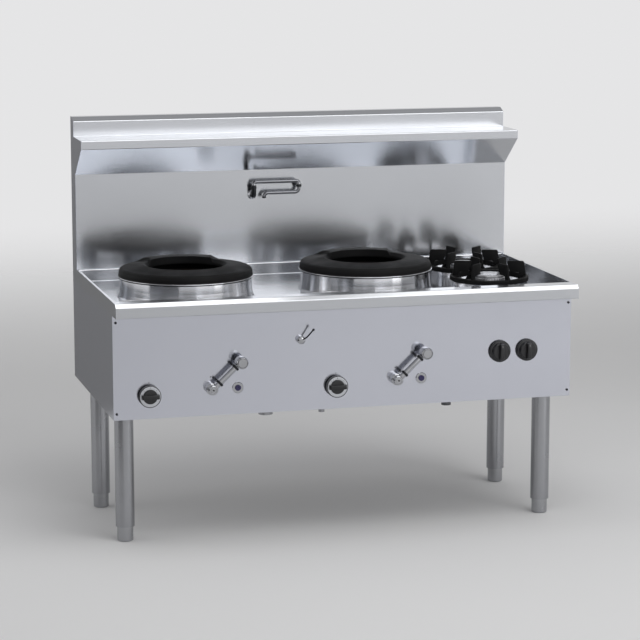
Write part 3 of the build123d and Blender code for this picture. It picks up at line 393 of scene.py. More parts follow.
# Satin 304 tube: ground round its girth, so highlights run up and down and look grey.
SATIN_TUBE = BrushedSheet(
    "Stainless_304_tube_satin", "A9AAAD", "9B9CA0", roughness=0.26, gloss_drift=0.03,
    drift_mm=120.0, grain_mm=(1.0, 40.0), grain_depth_mm=0.006, anisotropy=0.4,
)
# Turned 304 foot: fine tool lines all round, duller than the sheet.
TURNED_STEEL = BrushedSheet(
    "Stainless_304_foot_turned", "B2B3B6", "A4A5A9", roughness=0.24, drift_mm=40.0,
    grain_mm=(0.8, 40.0), grain_depth_mm=0.008, anisotropy=0.4,
)
# Hot-dip galvanised box section: grey crystals about a centimetre across.
ZINC = Spangle(
    "Steel_box_galvanised", "A4A8AC", "878C92", roughness=0.42, gloss_drift=0.06,
    drift_mm=200.0, grain_mm=(1.0, 1.0), grain_depth_mm=0.01,
)
# Mild steel plate that has been red hot: a dark scale with faint straw and blue bands.
HOT_STEEL = HeatTinted(
    "Steel_plate_heat_tinted", "2C2B2A", "171616", roughness=0.6, gloss_drift=0.08,
    drift_mm=60.0, grain_mm=(1.5, 1.5), grain_depth_mm=0.05,
)
# Sand-cast grey iron with a dull black stove finish: a grain of about a millimetre.
BLACK_IRON = DullCoat(
    "Grey_iron_sand_cast_black", "0F0F10", "0A0A0B", metallic=0.0, roughness=0.62,
    gloss_drift=0.06, drift_mm=70.0, grain_mm=(0.9, 0.9), grain_depth_mm=0.09, grain_tone=0.35,
)
# Pressure die-cast aluminium: light grey and slightly orange-peeled.
ALLOY = Finish(
    "Aluminium_die_cast", "B9B9BB", "A3A4A7", gloss_drift=0.05, drift_mm=30.0,
    grain_depth_mm=0.02,
)
# Phenolic moulding: black, close to satin, with a very fine mould texture.
PHENOLIC = Finish(
    "Phenolic_moulded_black", "161618", "1E1E21", metallic=0.0, roughness=0.34,
    gloss_drift=0.05, grain_mm=(0.4, 0.4), grain_depth_mm=0.01,
)
# Injection-moulded nylon, close to navy blue, with a smooth crown.
BUTTON_NYLON = Finish(
    "Nylon_moulded_violet", "211B45", "2A2454", metallic=0.0, drift_mm=8.0,
    grain_mm=(0.4, 0.4), grain_depth_mm=0.006,
)
# Aluminium disc, spun-finished: fine lines that show as a soft satin.
DIAL_ALUMINIUM = Finish(
    "Aluminium_disc_spun", "C9CBCF", "BDBFC4", drift_mm=15.0, grain_mm=(0.4, 8.0),
    grain_tone=0.4,
)
# Chromium plate over polished brass: the clearest mirror on the range.
BRIGHT_CHROME = Finish(
    "Brass_chrome_plated", "B4B5B8", "A9AAAE", roughness=0.1, gloss_drift=0.02,
    grain_mm=(12.0, 12.0), grain_tone=0.2,
)
# The same plate on the tap's drawn tubes, a little duller, drawn a darker mid grey with clear
# edges: the darker grey is painted shade.
SHADED_TUBE_CHROME = Finish(
    "Brass_tube_chrome_plated", "86878B", "7C7D81", roughness=0.14, gloss_drift=0.02,
    drift_mm=40.0, grain_mm=(6.0, 6.0), grain_depth_mm=0.002, grain_tone=0.1,
)
# Chrome plate over brass in a dark grey: a dark, softer mirror. On the screws its dark grey is
# painted shade of their recesses, and on the tap's post painted shade.
DARK_CHROME_AND_SHADE = Finish(
    "Brass_chrome_plated_dark", "3E3F42", "2E2F31", drift_mm=12.0, grain_mm=(4.0, 4.0),
    grain_tone=0.2,
)
# Hot-forged brass, left as it comes from the tumbler.
VALVE_BRASS = Finish(
    "Brass_forged_valve", "B08D4E", "9A7840", roughness=0.35, gloss_drift=0.06, drift_mm=25.0,
    grain_depth_mm=0.03,
)
# Drawn copper tube, tarnished a little along its length.
COPPER = Finish(
    "Copper_tube_drawn", "B4714A", "8E5338", gloss_drift=0.08, drift_mm=60.0,
    grain_mm=(0.6, 30.0),
)
# Threaded steel pipe under a coat of grey paint.
PIPE_STEEL = Finish(
    "Steel_pipe_painted_grey", "6E7073", "5F6164", metallic=0.0, roughness=0.45,
    gloss_drift=0.05, drift_mm=80.0, grain_mm=(1.2, 1.2), grain_depth_mm=0.03, grain_tone=0.2,
)
# Cold-drawn steel rod with fine lines along it.
STEM_STEEL = Finish("Steel_rod_drawn", "9A9B9E", "88898D", grain_mm=(0.4, 10.0))
# Baked enamel filled into an engraved line, grey or black. The grey line on the burner knobs is
# partly a painted highlight; the black one in the lever's screw hollow and grip groove is painted
# shade.
GREY_MARK_AND_HIGHLIGHT = Finish(
    "Enamel_line_grey_and_highlight", "8C8C8C", "828282", metallic=0.0, roughness=0.5, gloss_drift=0.05,
    drift_mm=10.0, grain_mm=(0.4, 0.4), grain_tone=0.2,
)
BLACK_MARK_AND_SHADE = replace(GREY_MARK_AND_HIGHLIGHT, name="Enamel_line_black_and_shade", colour="19191A", shade="232325")
# Matt studio boards that show in reflections alone, black and middle grey.
BLACK_BOARD = DullCoat(
    "Paper_board_black", "0C0C0C", "101010", metallic=0.0, roughness=0.9, gloss_drift=0.02,
    drift_mm=100.0, grain_mm=(1.0, 1.0), grain_depth_mm=0.01, grain_tone=0.2, sheen_level=0.1,
)
GREY_BOARD = replace(BLACK_BOARD, name="Paper_board_grey", colour="9C9C9C", shade="989898")
# Painted studio floor, matt and almost even.
PALE_FLOOR = FadingFloor(
    "Floor_paint_pale", "E6E6E6", "E3E3E3", metallic=0.0, roughness=0.85, gloss_drift=0.05,
    drift_mm=900.0, grain_mm=(3.0, 3.0), grain_depth_mm=0.01, grain_tone=0.1,
)


@cache
def material_of(finish: Finish) -> bpy.types.Material:
    """Build a finish once and give the same material every time."""
    return finish.build()


# ------------------------------------------------------------------ mesh making
PLAIN = Matrix.Identity(4)
# Straight pieces in the arc of a rounded corner, and the most of an edge that one may take.
ARC_STEPS = 4
CORNER_SHARE = 0.49
# Distances, in millimetres, below which points are one and an edge is nothing.
MERGE = 1e-4
NOTHING = 1e-5
# Angle above which an edge stays sharp, in radians.
CREASE = math.radians(38.0)
# Pieces along each bend of a bar.
BEND_STEPS = 8


def mm(x: float, y: float, z: float) -> Vector:
    """Offset in metres from sizes in millimetres."""
    return Vector((x, y, z)) * MM


def middle(node: str) -> Vector:
    """Centre of a node's box."""
    low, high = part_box(node)
    return (low + high) / 2


def on_axis(node: str, height: float) -> Vector:
    """Point on the upright line through a node's centre, at a height in metres."""
    centre = middle(node)
    return Vector((centre.x, centre.y, height))


def on_panel(x: float, z: float) -> Vector:
    """Point on the front of the front panel, in metres."""
    return Vector((x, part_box("front_panel")[0].y, z))


def placed(facing: Facing, centre: Vector) -> Matrix:
    """Matrix that turns and moves a piece made round the Z axis, in millimetres.

    Args:
        facing: Which way the piece's axis points.
        centre: Where its origin goes, in metres.

    Returns:
        The matrix, with the change to metres in it.
    """
    turn = Matrix.Rotation(facing.value, 4, "X")
    return Matrix.Translation(centre) @ turn @ Matrix.Scale(MM, 4)


def aimed(start: Vector, end: Vector) -> Matrix:
    """Matrix that lays a piece made up the Z axis along a line, in millimetres.

    Args:
        start: Where its origin goes, in metres.
        end: The point that its axis runs to, in metres.

    Returns:
        The matrix, with the change to metres in it.
    """
    turn = (end - start).to_track_quat("Z", "Y").to_matrix().to_4x4()
    return Matrix.Translation(start) @ turn @ Matrix.Scale(MM, 4)


def rounded(outline: Outline, closed: bool) -> list[Point]:
    """Replace each corner of an outline by an arc.

    Args:
        outline: Corners as (radius, height, corner radius), in millimetres.
        closed: Whether the last corner joins the first.

    Returns:
        The points of the outline with its corners rounded.
    """
    count = len(outline)
    points: list[Point] = []
    for k, (u, v, corner) in enumerate(outline):
        here = Vector((u, v))
        if corner <= 0 or (not closed and k in (0, count - 1)):
            points.append((u, v))
            continue
        before = Vector(outline[k - 1][:2]) - here
        after = Vector(outline[(k + 1) % count][:2]) - here
        reach = min(
            corner / math.tan(before.angle(after) / 2),
            CORNER_SHARE * before.length, CORNER_SHARE * after.length,
        )
        start = here + before.normalized() * reach
        end = here + after.normalized() * reach
        for step in range(ARC_STEPS + 1):
            t = step / ARC_STEPS
            blend = start * (1 - t) ** 2 + here * 2 * t * (1 - t) + end * t ** 2
            points.append((blend.x, blend.y))
    return points


def even_angles(count: int) -> list[float]:
    """Equal angles over a full turn."""
    return [2 * math.pi * k / count for k in range(count)]


def turned_mesh(
    row_at: Callable[[float], Sequence[Point]], angles: Sequence[float], closed: bool
) -> Mesh:
    """Mesh swept round the Z axis from one row of points for each angle.

    Args:
        row_at: Gives the (radius, height) points of a row at an angle, always as many.
        angles: Angles of the rows, in radians, over a full turn.
        closed: Whether each row is a loop, as for a ring.

    Returns:
        The mesh, in millimetres.
    """
    mesh = bmesh.new()
    rows = []
    for angle in angles:
        x, y = math.cos(angle), math.sin(angle)
        rows.append([mesh.verts.new((r * x, r * y, z)) for r, z in row_at(angle)])
    count = len(rows[0])
    for row, following in zip(rows, rows[1:] + rows[:1]):
        for j in range(count if closed else count - 1):
            nxt = (j + 1) % count
            mesh.faces.new((row[j], following[j], following[nxt], row[nxt]))
    bmesh.ops.remove_doubles(mesh, verts=mesh.verts, dist=MERGE)
    bmesh.ops.dissolve_degenerate(mesh, edges=mesh.edges, dist=NOTHING)
    bmesh.ops.recalc_face_normals(mesh, faces=mesh.faces)
    return mesh


def lathe(outline: Outline, closed: bool = False, count: int = 96) -> Mesh:
    """Turned mesh with rounded corners from one outline.

    Args:
        outline: Corners as (radius, height, corner radius), in millimetres.
        closed: Whether the outline is a loop that stays off the axis.
        count: Rows over the full turn.

    Returns:
        The mesh, in millimetres.
    """
    points = rounded(outline, closed)
    return turned_mesh(lambda angle: points, even_angles(count), closed)


def sleeve(inner: float, outer: float, low: float, high: float, corner: float) -> Mesh:
    """Collar round a bar with its two outer edges rounded, in millimetres."""
    return lathe([
        (inner, low, 0.0), (outer, low, corner), (outer, high, corner), (inner, high, 0.0),
    ], True, 48)


def dot(radius: float, low: float, high: float, bevel: float) -> Mesh:
    """Small disc with a bevelled top edge, in millimetres."""
    return lathe([
        (0.0, low, 0.0), (radius, low, 0.0), (radius - bevel, high, bevel), (0.0, high, 0.0),
    ], False, 24)


def slab(outline: Sequence[Point], thickness: float, draft: float, corner: float) -> Mesh:
    """Plate with an outline in the XZ plane, thinner towards its top, with rounded edges.

    Args:
        outline: Corners as (x, z), in millimetres.
        thickness: Thickness along Y at the lowest corner.
        draft: Thickness lost at the highest corner.
        corner: Edge radius.

    Returns:
        The mesh, in millimetres.
    """
    low = min(z for _, z in outline)
    high = max(z for _, z in outline)
    mesh = bmesh.new()
    near, far = [], []
    for loop, side in ((near, -1), (far, 1)):
        for x, z in outline:
            half = (thickness - draft * (z - low) / (high - low)) / 2
            loop.append(mesh.verts.new((x, side * half, z)))
    mesh.faces.new(near)
    mesh.faces.new(list(reversed(far)))
    for k in range(len(outline)):
        nxt = (k + 1) % len(outline)
        mesh.faces.new((near[nxt], near[k], far[k], far[nxt]))
    bmesh.ops.recalc_face_normals(mesh, faces=mesh.faces)
    bmesh.ops.bevel(
        mesh, geom=list(mesh.edges), offset=corner, segments=3, profile=0.5, affect="EDGES",
        clamp_overlap=True,
    )
    bmesh.ops.recalc_face_normals(mesh, faces=mesh.faces)
    return mesh


def strip(half: float, width: float, low: float, high: float, corner: float) -> Mesh:
    """Short straight mark, flat on a face; half is half its length, in millimetres."""
    return slab([(-half, low), (half, low), (half, high), (-half, high)], width, 0.1, corner)


def join(meshes: Iterable[Mesh]) -> Mesh:
    """Put several meshes into one, and free them."""
    whole = bmesh.new()
    for mesh in meshes:
        part = bpy.data.meshes.new("part")
        mesh.to_mesh(part)
        mesh.free()
        whole.from_mesh(part)
        bpy.data.meshes.remove(part)
    return whole


def to_object(name: str, mesh: Mesh, matrix: Matrix = PLAIN) -> Thing:
    """Object with its place in its mesh, smooth except at sharp edges.

    Args:
        name: Name of the object.
        mesh: Mesh, which is freed.
        matrix: Place and scale of the mesh.

    Returns:
        The object, linked to the scene.
    """
    for face in mesh.faces:
        face.smooth = True
    for edge in mesh.edges:
        edge.smooth = len(edge.link_faces) == 2 and edge.calc_face_angle(0.0) < CREASE
    mesh.transform(matrix)
    data = bpy.data.meshes.new(name)
    mesh.to_mesh(data)
    mesh.free()
    thing = bpy.data.objects.new(name, data)
    bpy.context.scene.collection.objects.link(thing)
    return thing


def sheet_object(name: str, corners: Iterable[Spot], finish: Finish) -> Thing:
    """One flat face of the studio, in metres, marked as no part of the range."""
    mesh = bmesh.new()
    mesh.faces.new([mesh.verts.new(corner) for corner in corners])
    thing = to_object(name, mesh)
    thing.data.materials.append(material_of(finish))
    return thing


# ------------------------------------------------------------------ geometry trees
def new_tree(name: str, inputs: dict[str, str]) -> Tree:
    """Empty geometry tree with named inputs.

    Args:
        name: Name of the tree.
        inputs: Kind of socket by input name.

    Returns:
        The tree, with a Geometry input and output.
    """
    tree = bpy.data.node_groups.new(name, "GeometryNodeTree")
    for label, kind in {"Geometry": "Geometry", **inputs}.items():
        tree.interface.new_socket(label, in_out="INPUT", socket_type=f"NodeSocket{kind}")
    tree.interface.new_socket("Geometry", in_out="OUTPUT", socket_type="NodeSocketGeometry")
    return tree


def finish_tree(tree: Tree, shape: Socket, material: Socket) -> None:
    """End a tree with Realize Instances and Set Material."""
    real = add_node(tree, "GeometryNodeRealizeInstances", {"Geometry": shape})
    dressed = add_node(tree, "GeometryNodeSetMaterial", {
        "Geometry": real.outputs["Geometry"], "Material": material,
    })
    add_node(tree, "NodeGroupOutput", {"Geometry": dressed.outputs["Geometry"]})


def run_tree(thing: Thing, tree: Tree, values: dict[str, object]) -> None:
    """Run a geometry tree on an object and keep the result as its plain mesh.

    Args:
        thing: Object whose mesh goes in, and which gets the new mesh and no modifier.
        tree: The tree.
        values: Value by input name.
    """
    modifier = thing.modifiers.new(tree.name, "NODES")
    modifier.node_group = tree
    for item in tree.interface.items_tree:
        if item.in_out == "INPUT" and item.name in values:
            modifier[item.identifier] = values[item.name]
    bpy.context.view_layer.update()
    graph = bpy.context.evaluated_depsgraph_get()
    result = bpy.data.meshes.new_from_object(thing.evaluated_get(graph), depsgraph=graph)
    thing.modifiers.remove(modifier)
    thing.data = result


@cache
def ring_tree() -> Tree:
    """Tree that sets copies of an object on a circle, each turned outwards."""
    tree = new_tree("Ring_Array", {
        "Piece": "Object", "Count": "Int", "Radius": "Float", "Turn": "Float", "Step": "Float",
        "Material": "Material",
    })
    given = add_node(tree, "NodeGroupInput").outputs
    points = add_node(tree, "GeometryNodePoints", {"Count": given["Count"]})
    index = add_node(tree, "GeometryNodeInputIndex")
    angle = add_node(tree, "ShaderNodeMath", {
        0: index.outputs[0], 1: given["Step"], 2: given["Turn"],
    }, operation="MULTIPLY_ADD")
    spot = add_node(tree, "ShaderNodeCombineXYZ", {"X": given["Radius"]})
    turn = add_node(tree, "ShaderNodeCombineXYZ", {"Z": angle.outputs[0]})
    aim = add_node(tree, "ShaderNodeVectorRotate", {
        "Vector": spot.outputs[0], "Angle": angle.outputs[0],
    }, rotation_type="Z_AXIS")
    moved = add_node(tree, "GeometryNodeSetPosition", {
        "Geometry": points.outputs[0], "Position": aim.outputs[0],
    })
    source = add_node(tree, "GeometryNodeObjectInfo", {"Object": given["Piece"]})
    copies = add_node(tree, "GeometryNodeInstanceOnPoints", {
        "Points": moved.outputs["Geometry"], "Instance": source.outputs["Geometry"],
        "Rotation": turn.outputs[0],
    })
    finish_tree(tree, copies.outputs["Instances"], given["Material"])
    return tree


@cache
def bar_tree() -> Tree:
    """Tree that turns a line of edges into a round bar with bends."""
    tree = new_tree("Bent_Bar", {
        "Bar Radius": "Float", "Bend Radius": "Float", "Sides": "Int", "Bend Steps": "Int",
        "Material": "Material",
    })
    given = add_node(tree, "NodeGroupInput").outputs
    line = add_node(tree, "GeometryNodeMeshToCurve", {"Mesh": given["Geometry"]})
    bent = add_node(tree, "GeometryNodeFilletCurve", {
        "Limit Radius": True, "Curve": line.outputs[0], "Radius": given["Bend Radius"],
        "Count": given["Bend Steps"],
    }, mode="POLY")
    section = add_node(tree, "GeometryNodeCurvePrimitiveCircle", {
        "Resolution": given["Sides"], "Radius": given["Bar Radius"],
    })
    bar = add_node(tree, "GeometryNodeCurveToMesh", {
        "Fill Caps": True, "Curve": bent.outputs[0], "Profile Curve": section.outputs["Curve"],
    })
    finish_tree(tree, bar.outputs["Mesh"], given["Material"])
    return tree


# ------------------------------------------------------------------ sub-assemblies
SIDES = ("left", "right")
ROWS = ("front", "rear")


class Assembly:
    """A sub-assembly: it builds pieces, dresses them and reports each one."""

    slot: ClassVar[Slot] = Slot.CHROME

    def build(self) -> None:
        """Build the new pieces and dress the nodes that keep their meshes."""
        raise NotImplementedError

    def add(
        self, name: str, mesh: Mesh, place: Matrix, finish: Finish, body: str,
        nodes: Sequence[str] = (), slot: Slot | None = None,
    ) -> None:
        """Make a piece, dress it and let it ride.

        Args:
            name: Name of the piece.
            mesh: Its mesh.
            place: Its place and scale.
            finish: Its finish.
            body: Body that it rides on.
            nodes: Nodes that it stands for.
            slot: Finish slot of the record, where it isn't the sub-assembly's own; not used.
        """
        thing = to_object(name, mesh, place)
        thing.data.materials.append(material_of(finish))
        self.settle(thing, body, nodes)

    def settle(
        self, thing: Thing, body: str, nodes: Sequence[str] = ()
    ) -> None:
        """Let a finished piece ride on its body and stand for its nodes."""
        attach(thing, body)
        if nodes:
            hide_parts(*nodes)
        LOG.info("%s rides on %s, %d faces", thing.name, body, len(thing.data.polygons))

    def dress(self, finish: Finish, *nodes: str) -> None:
        """Give nodes that keep their own mesh a finish."""
        for node in nodes:
            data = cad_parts[node].data
            data.materials.clear()
            data.materials.append(material_of(finish))
            LOG.info("%s is dressed with %s", node, finish.name)

    def ring_array(
        self, name: str, source: Mesh, finish: Finish, radius: float,
        turns: tuple[int, float, float], place: Matrix, body: str,
    ) -> None:
        """Make copies of a mesh on a circle, as one plain piece.

        Args:
            name: Name of the piece.
            source: Mesh to copy, in millimetres.
            finish: Finish of the piece.
            radius: Radius of the circle, in millimetres.
            turns: Count, first angle and angle step, in degrees.
            place: Place and scale of the whole.
            body: Body that it rides on.
        """
        pattern = to_object(f"{name}_one", source)
        thing = to_object(name, bmesh.new())
        count, first, step = turns
        run_tree(thing, ring_tree(), {
            "Piece": pattern, "Count": count, "Radius": radius, "Turn": math.radians(first),
            "Step": math.radians(step), "Material": material_of(finish),
        })
        bpy.data.objects.remove(pattern)
        thing.data.transform(place)
        self.settle(thing, body)

    def bar(
        self, name: str, points: Sequence[Vector], sizes: tuple[float, float, int],
        finish: Finish, body: str, nodes: Sequence[str] = (),
    ) -> None:
        """Make a bent round bar along straight runs.

        Args:
            name: Name of the piece.
            points: Corners of the run, in metres.
            sizes: Bar radius and bend radius, in millimetres, and the number of its sides.
            finish: Finish of the bar.
            body: Body that it rides on.
            nodes: Nodes that it stands for.
        """
        line = bmesh.new()
        corners = [line.verts.new(point) for point in points]
        for pair in zip(corners, corners[1:]):
            line.edges.new(pair)
        thing = to_object(name, line)
        radius, bend, sides = sizes
        run_tree(thing, bar_tree(), {
            "Bar Radius": radius * MM, "Bend Radius": bend * MM, "Sides": sides,
            "Bend Steps": BEND_STEPS, "Material": material_of(finish),
        })
        for face in thing.data.polygons:
            face.use_smooth = len(face.vertices) == 4
        self.settle(thing, body, nodes)


# ------------------------------------------------------------------ sheet metal, frame and pipes
@dataclass
class Cabinet(Assembly):
    """Sheet body with its screws, frame rails, legs and feet, which keep their own meshes."""

    panels: tuple[str, ...] = (
        "front_panel", "left_side_panel", "right_side_panel", "rear_panel", "end_caps",
    )
    tops: tuple[str, ...] = ("deck", "splashback")
    rails: tuple[str, ...] = ("long_rails", "side_rails", "cross_rails")
    corners: tuple[str, ...] = ("front_left", "front_right", "rear_left", "rear_right")

    def build(self) -> None:
        """Dress the sheets, screws, rails, legs and feet."""
        self.dress(BRUSHED_STEEL, *self.panels)
        self.dress(TOP_STEEL, *self.tops)
        # The screws are drawn dark all over: painted shade of their recesses.
        self.dress(DARK_CHROME_AND_SHADE, "panel_screws")
        self.dress(ZINC, *self.rails)
        self.dress(SATIN_TUBE, *(f"{corner}_leg" for corner in self.corners))
        self.dress(TURNED_STEEL, *(f"{corner}_foot" for corner in self.corners))


@dataclass
class Pipework(Assembly):
    """Gas, water and drain lines under the deck."""

    def build(self) -> None:
        """Dress the pipes and valves."""
        self.dress(PIPE_STEEL, "gas_manifold")
        self.dress(COPPER, "branch_pipes")
        self.dress(VALVE_BRASS, "pilot_valves", "lever_valves", "burner_valves")
        self.dress(BRIGHT_CHROME, "water_valve")
        self.dress(SATIN_TUBE, "water_pipes", "drain_outlet")


# ------------------------------------------------------------------ burners
@dataclass
class WokStation(Assembly):
    """Polished skirt, cast ring, chamber and burner of one wok place."""

    side: str
    rim_radius: float = 217.0
    bead_height: float = 7.0
    shoulder_radius: float = 203.0
    shoulder_height: float = 31.0
    crest_radius: float = 134.0
    crest_height: float = 41.0
    hole_radius: float = 122.0
    wall: float = 10.0
    web_radius: float = 190.0
    lip_inner: float = 197.7
    lip_outer: float = 203.6
    seat_above_low: float = 6.0
    back_height: float = 47.0
    back_radius: float = 170.0
    back_half_width: float = 98.0
    back_flare: float = 0.28
    back_start: float = 60.0
    back_end_run: float = 12.0
    wire_radius: float = 1.6
    wire_height: float = 4.5
    skirt_radius: float = 212.0
    skirt_height: float = 62.0
    skirt_flare: float = 9.0
    skirt_sheet: float = 1.5
    skirt_ledge: float = 8.0
    skirt_corner: float = 14.0
    skirt_curve: tuple[Point, ...] = (
        (0.0, 0.0), (0.07, 0.44), (0.25, 0.71), (0.55, 0.89), (1.0, 1.0),
    )
    slot = Slot.POLISHED

    def build(self) -> None:
        """Build the ring with its bright edge wire and the skirt, and dress the rest."""
        ring = f"{self.side}_wok_ring"
        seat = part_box(ring)[0].z + self.seat_above_low * MM
        place = placed(Facing.UP, on_axis(ring, seat))
        base = self.base_points()
        mesh = turned_mesh(lambda angle: self.ring_row(base, angle), even_angles(360), True)
        self.add(f"{self.side}_cast_ring", mesh, place, BLACK_IRON, ring, [ring], Slot.CASTING)
        self.add(f"{self.side}_ring_edge_wire", self.wire_mesh(), place, POLISHED_STEEL, ring)
        self.add(
            f"{self.side}_flared_skirt", self.skirt_mesh(), place, BAND_STEEL, "body",
            [f"{self.side}_wok_skirt"],
        )
        self.dress(HOT_STEEL, f"{self.side}_wok_chamber")
        self.dress(BLACK_IRON, f"{self.side}_wok_burner")

    def wire_mesh(self) -> Mesh:
        """Bright bead round the foot of the ring."""
        r, centre, height = self.wire_radius, self.rim_radius, self.wire_height
        return lathe([
            (centre + r * math.cos(turn), height + r * math.sin(turn), 0.0)
            for turn in even_angles(12)
        ], True, 240)

    def skirt_mesh(self) -> Mesh:
        """Band with a ledge under the ring, a straight upper part and a flared foot."""
        r, sheet = self.skirt_radius, self.skirt_sheet
        smooth = rounded([
            (r + self.skirt_flare * u, -self.skirt_height * v, self.skirt_corner)
            for u, v in self.skirt_curve
        ], False)
        back = [(x - sheet, z) for x, z in reversed(smooth[1:])] + [(r - sheet, -sheet)]
        ledge = r - self.skirt_ledge
        edge = [(ledge, 0.0), (r - 1.2, 0.0), (r - 0.3, -0.4)]
        row = edge + smooth[1:] + back + [(ledge, -sheet)]
        return turned_mesh(lambda angle: row, even_angles(240), True)

    def base_points(self) -> list[Point]:
        """Section of the ring away from its raised back."""
        rim, bead, shoulder = self.rim_radius, self.bead_height, self.shoulder_height
        crest, top, wall = self.crest_radius, self.crest_height, self.wall
        low = -self.seat_above_low
        return rounded([
            (rim, 0.0, 1.2), (rim, bead, 1.2), (rim - 2.2, bead + 1.8, 0.8),
            (rim - 2.0, shoulder - 14.0, 6.0), (rim - 5.0, shoulder - 3.5, 7.0),
            (self.shoulder_radius, shoulder, 9.0),
            (self.back_radius, self.top_at(self.back_radius), 0.0),
            (crest + 2.0, top, 3.0), (crest - 3.0, top - 1.0, 2.0),
            (self.hole_radius, top - wall, 1.5), (self.hole_radius, top - 2 * wall, 1.5),
            (crest, top - wall - 2.0, 2.0), (self.web_radius, shoulder - wall, 3.0),
            (self.lip_inner, shoulder - 2 * wall, 2.0), (self.lip_inner, low, 0.8),
            (self.lip_outer, low, 0.8), (self.lip_outer, 0.0, 0.4),
        ], True)

    def top_at(self, radius: float) -> float:
        """Height of the ring's top at a radius."""
        share = (self.shoulder_radius - radius) / (self.shoulder_radius - self.crest_radius)
        return self.shoulder_height + share * (self.crest_height - self.shoulder_height)

    def ring_row(self, base: Sequence[Point], angle: float) -> list[Point]:
        """Section of the ring at an angle, with the back of its top side raised."""
        top_from = self.crest_height - self.wall - 0.2
        top_to = self.shoulder_radius + 1.0
        return [
            (r, z + self.raise_at(r, z, angle) if z > top_from and r < top_to else z)
            for r, z in base
        ]

    def raise_at(self, r: float, z: float, angle: float) -> float:
        """How much higher the ring's back makes a point of its top."""
        x, y = r * math.cos(angle), r * math.sin(angle)
        if y < self.back_start:
            return 0.0
        edge = self.back_half_width + self.back_flare * (y - self.back_start)
        share = (edge + self.back_end_run / 2 - abs(x)) / self.back_end_run
        share = min(1.0, max(0.0, share))
        slope = (r - self.back_radius) / (self.shoulder_radius - self.back_radius)
        slope = min(1.0, max(0.0, slope))
        target = self.back_height + slope * (self.shoulder_height - self.back_height)
        return max(0.0, target - z) * (share * share * (3 - 2 * share))


@dataclass
class OpenBurner(Assembly):
    """Cast trivet, drip bowl, burner head and cap of one open burner."""

    row: str
    trivet_radius: float = 129.0
    trivet_width: float = 18.0
    trivet_height: float = 13.0
    fin_count: int = 6
    fin_turn: float = -17.0
    fin_thickness: float = 7.4
    fin_draft: float = 1.6
    fin_corner: float = 1.3
    fin_low: float = 11.0
    fin_top: float = 61.0
    fin_outer: float = 113.0
    fin_root: float = 121.0
    fin_inner: float = 58.0
    fin_foot: float = 20.0
    fin_arch: float = 24.0
    head_radius: float = 55.0
    head_height: float = 24.0
    head_under: tuple[Point, ...] = (
        (46.0, 0.6), (44.6, 0.0), (28.0, 0.0), (28.0, -30.0), (24.0, -30.0),
    )
    port_count: int = 36
    port_half_angle: float = 1.6
    port_flank: float = 1.15
    port_depth: float = 4.0
    cap_above_low: float = 8.0
    cap_section: Outline = (
        (0.0, -7.9, 0.0), (23.9, -7.9, 1.0), (23.9, 0.1, 0.5), (49.0, 0.1, 0.6), (50.0, 1.2, 0.8),
        (50.0, 5.8, 1.2), (45.5, 8.8, 2.0), (36.0, 9.6, 1.5), (33.0, 9.0, 0.8), (30.0, 9.7, 1.2),
        (0.0, 10.2, 0.0),
    )
    slot = Slot.CASTING

    def build(self) -> None:
        """Build the trivet, head and cap, and dress the bowl."""
        self.dress(POLISHED_STEEL, f"{self.row}_burner_bowl")
        self.build_trivet(f"{self.row}_trivet", f"{self.row}_burner_cap")
        self.build_head(f"{self.row}_burner_head")
        self.build_cap(f"{self.row}_burner_cap")

    def build_trivet(self, node: str, cap: str) -> None:
        """Flat ring and six fins with rounded edges, centred on the burner's cap."""
        place = placed(Facing.UP, on_axis(cap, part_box(node)[0].z))
        outer, inner = self.trivet_radius, self.trivet_radius - self.trivet_width
        height = self.trivet_height
        ring = lathe([
            (inner, 0.0, 1.0), (outer, 0.0, 1.0), (outer, height, 3.0), (inner, height, 2.5),
        ], True, 120)
        self.add(f"{node}_ring", ring, place, BLACK_IRON, node, [node])
        self.ring_array(
            f"{node}_fins", self.fin_mesh(), BLACK_IRON, 0.0,
            (self.fin_count, self.fin_turn, 360 / self.fin_count), place, node,
        )

    def fin_mesh(self) -> Mesh:
        """Upright fin on a foot, with an arch below its inner end."""
        low, top, arch = self.fin_low, self.fin_top, self.fin_arch
        inner, outer, foot = self.fin_inner, self.fin_outer, self.fin_root - self.fin_foot
        return slab([
            (foot, low), (self.fin_root, low), (outer + 1.0, top - 3.5), (outer - 2.5, top),
            (inner + 2.5, top), (inner, top - 3.5), (inner + 9.0, arch + 3.5),
            (inner + 13.0, arch), (foot - 6.0, arch), (foot - 1.0, arch - 4.0),
        ], self.fin_thickness, self.fin_draft, self.fin_corner)

    def build_head(self, node: str) -> None:
        """Burner head with a ring of flame ports."""
        centre = on_axis(node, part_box(node)[1].z - self.head_height * MM)
        half = math.radians(self.port_half_angle)
        flank = half * self.port_flank
        angles = [
            port + off for port in even_angles(self.port_count)
            for off in (-flank, -half, half, flank)
        ]
        mesh, place = turned_mesh(self.head_row, angles, True), placed(Facing.UP, centre)
        self.add(f"{self.row}_ported_head", mesh, place, ALLOY, "body", [node], Slot.ALLOY)

    def head_row(self, angle: float) -> list[Point]:
        """Section of the head, cut back inside a flame port."""
        step = 2 * math.pi / self.port_count
        off = abs((angle + step / 2) % step - step / 2)
        inside = off < math.radians(self.port_half_angle) * (1 + self.port_flank) / 2
        r, top = self.head_radius, self.head_height
        port = r - (self.port_depth if inside else 0.0)
        return [
            (24.1, top), (r - 2.0, top), (r - 0.5, top - 0.5), (r, top - 1.8), (port, top - 2.0),
            (port, top - 6.5), (r, top - 6.7), (r, 9.0), (r - 0.8, 7.2), *self.head_under,
            (24.0, top - 9.0), (24.1, top - 9.0),
        ]

    def build_cap(self, node: str) -> None:
        """Cap with a stepped, slightly domed top."""
        centre = on_axis(node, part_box(node)[0].z + self.cap_above_low * MM)
        mesh, place = lathe(self.cap_section), placed(Facing.UP, centre)
        self.add(f"{self.row}_stepped_cap", mesh, place, ALLOY, node, [node], Slot.ALLOY)


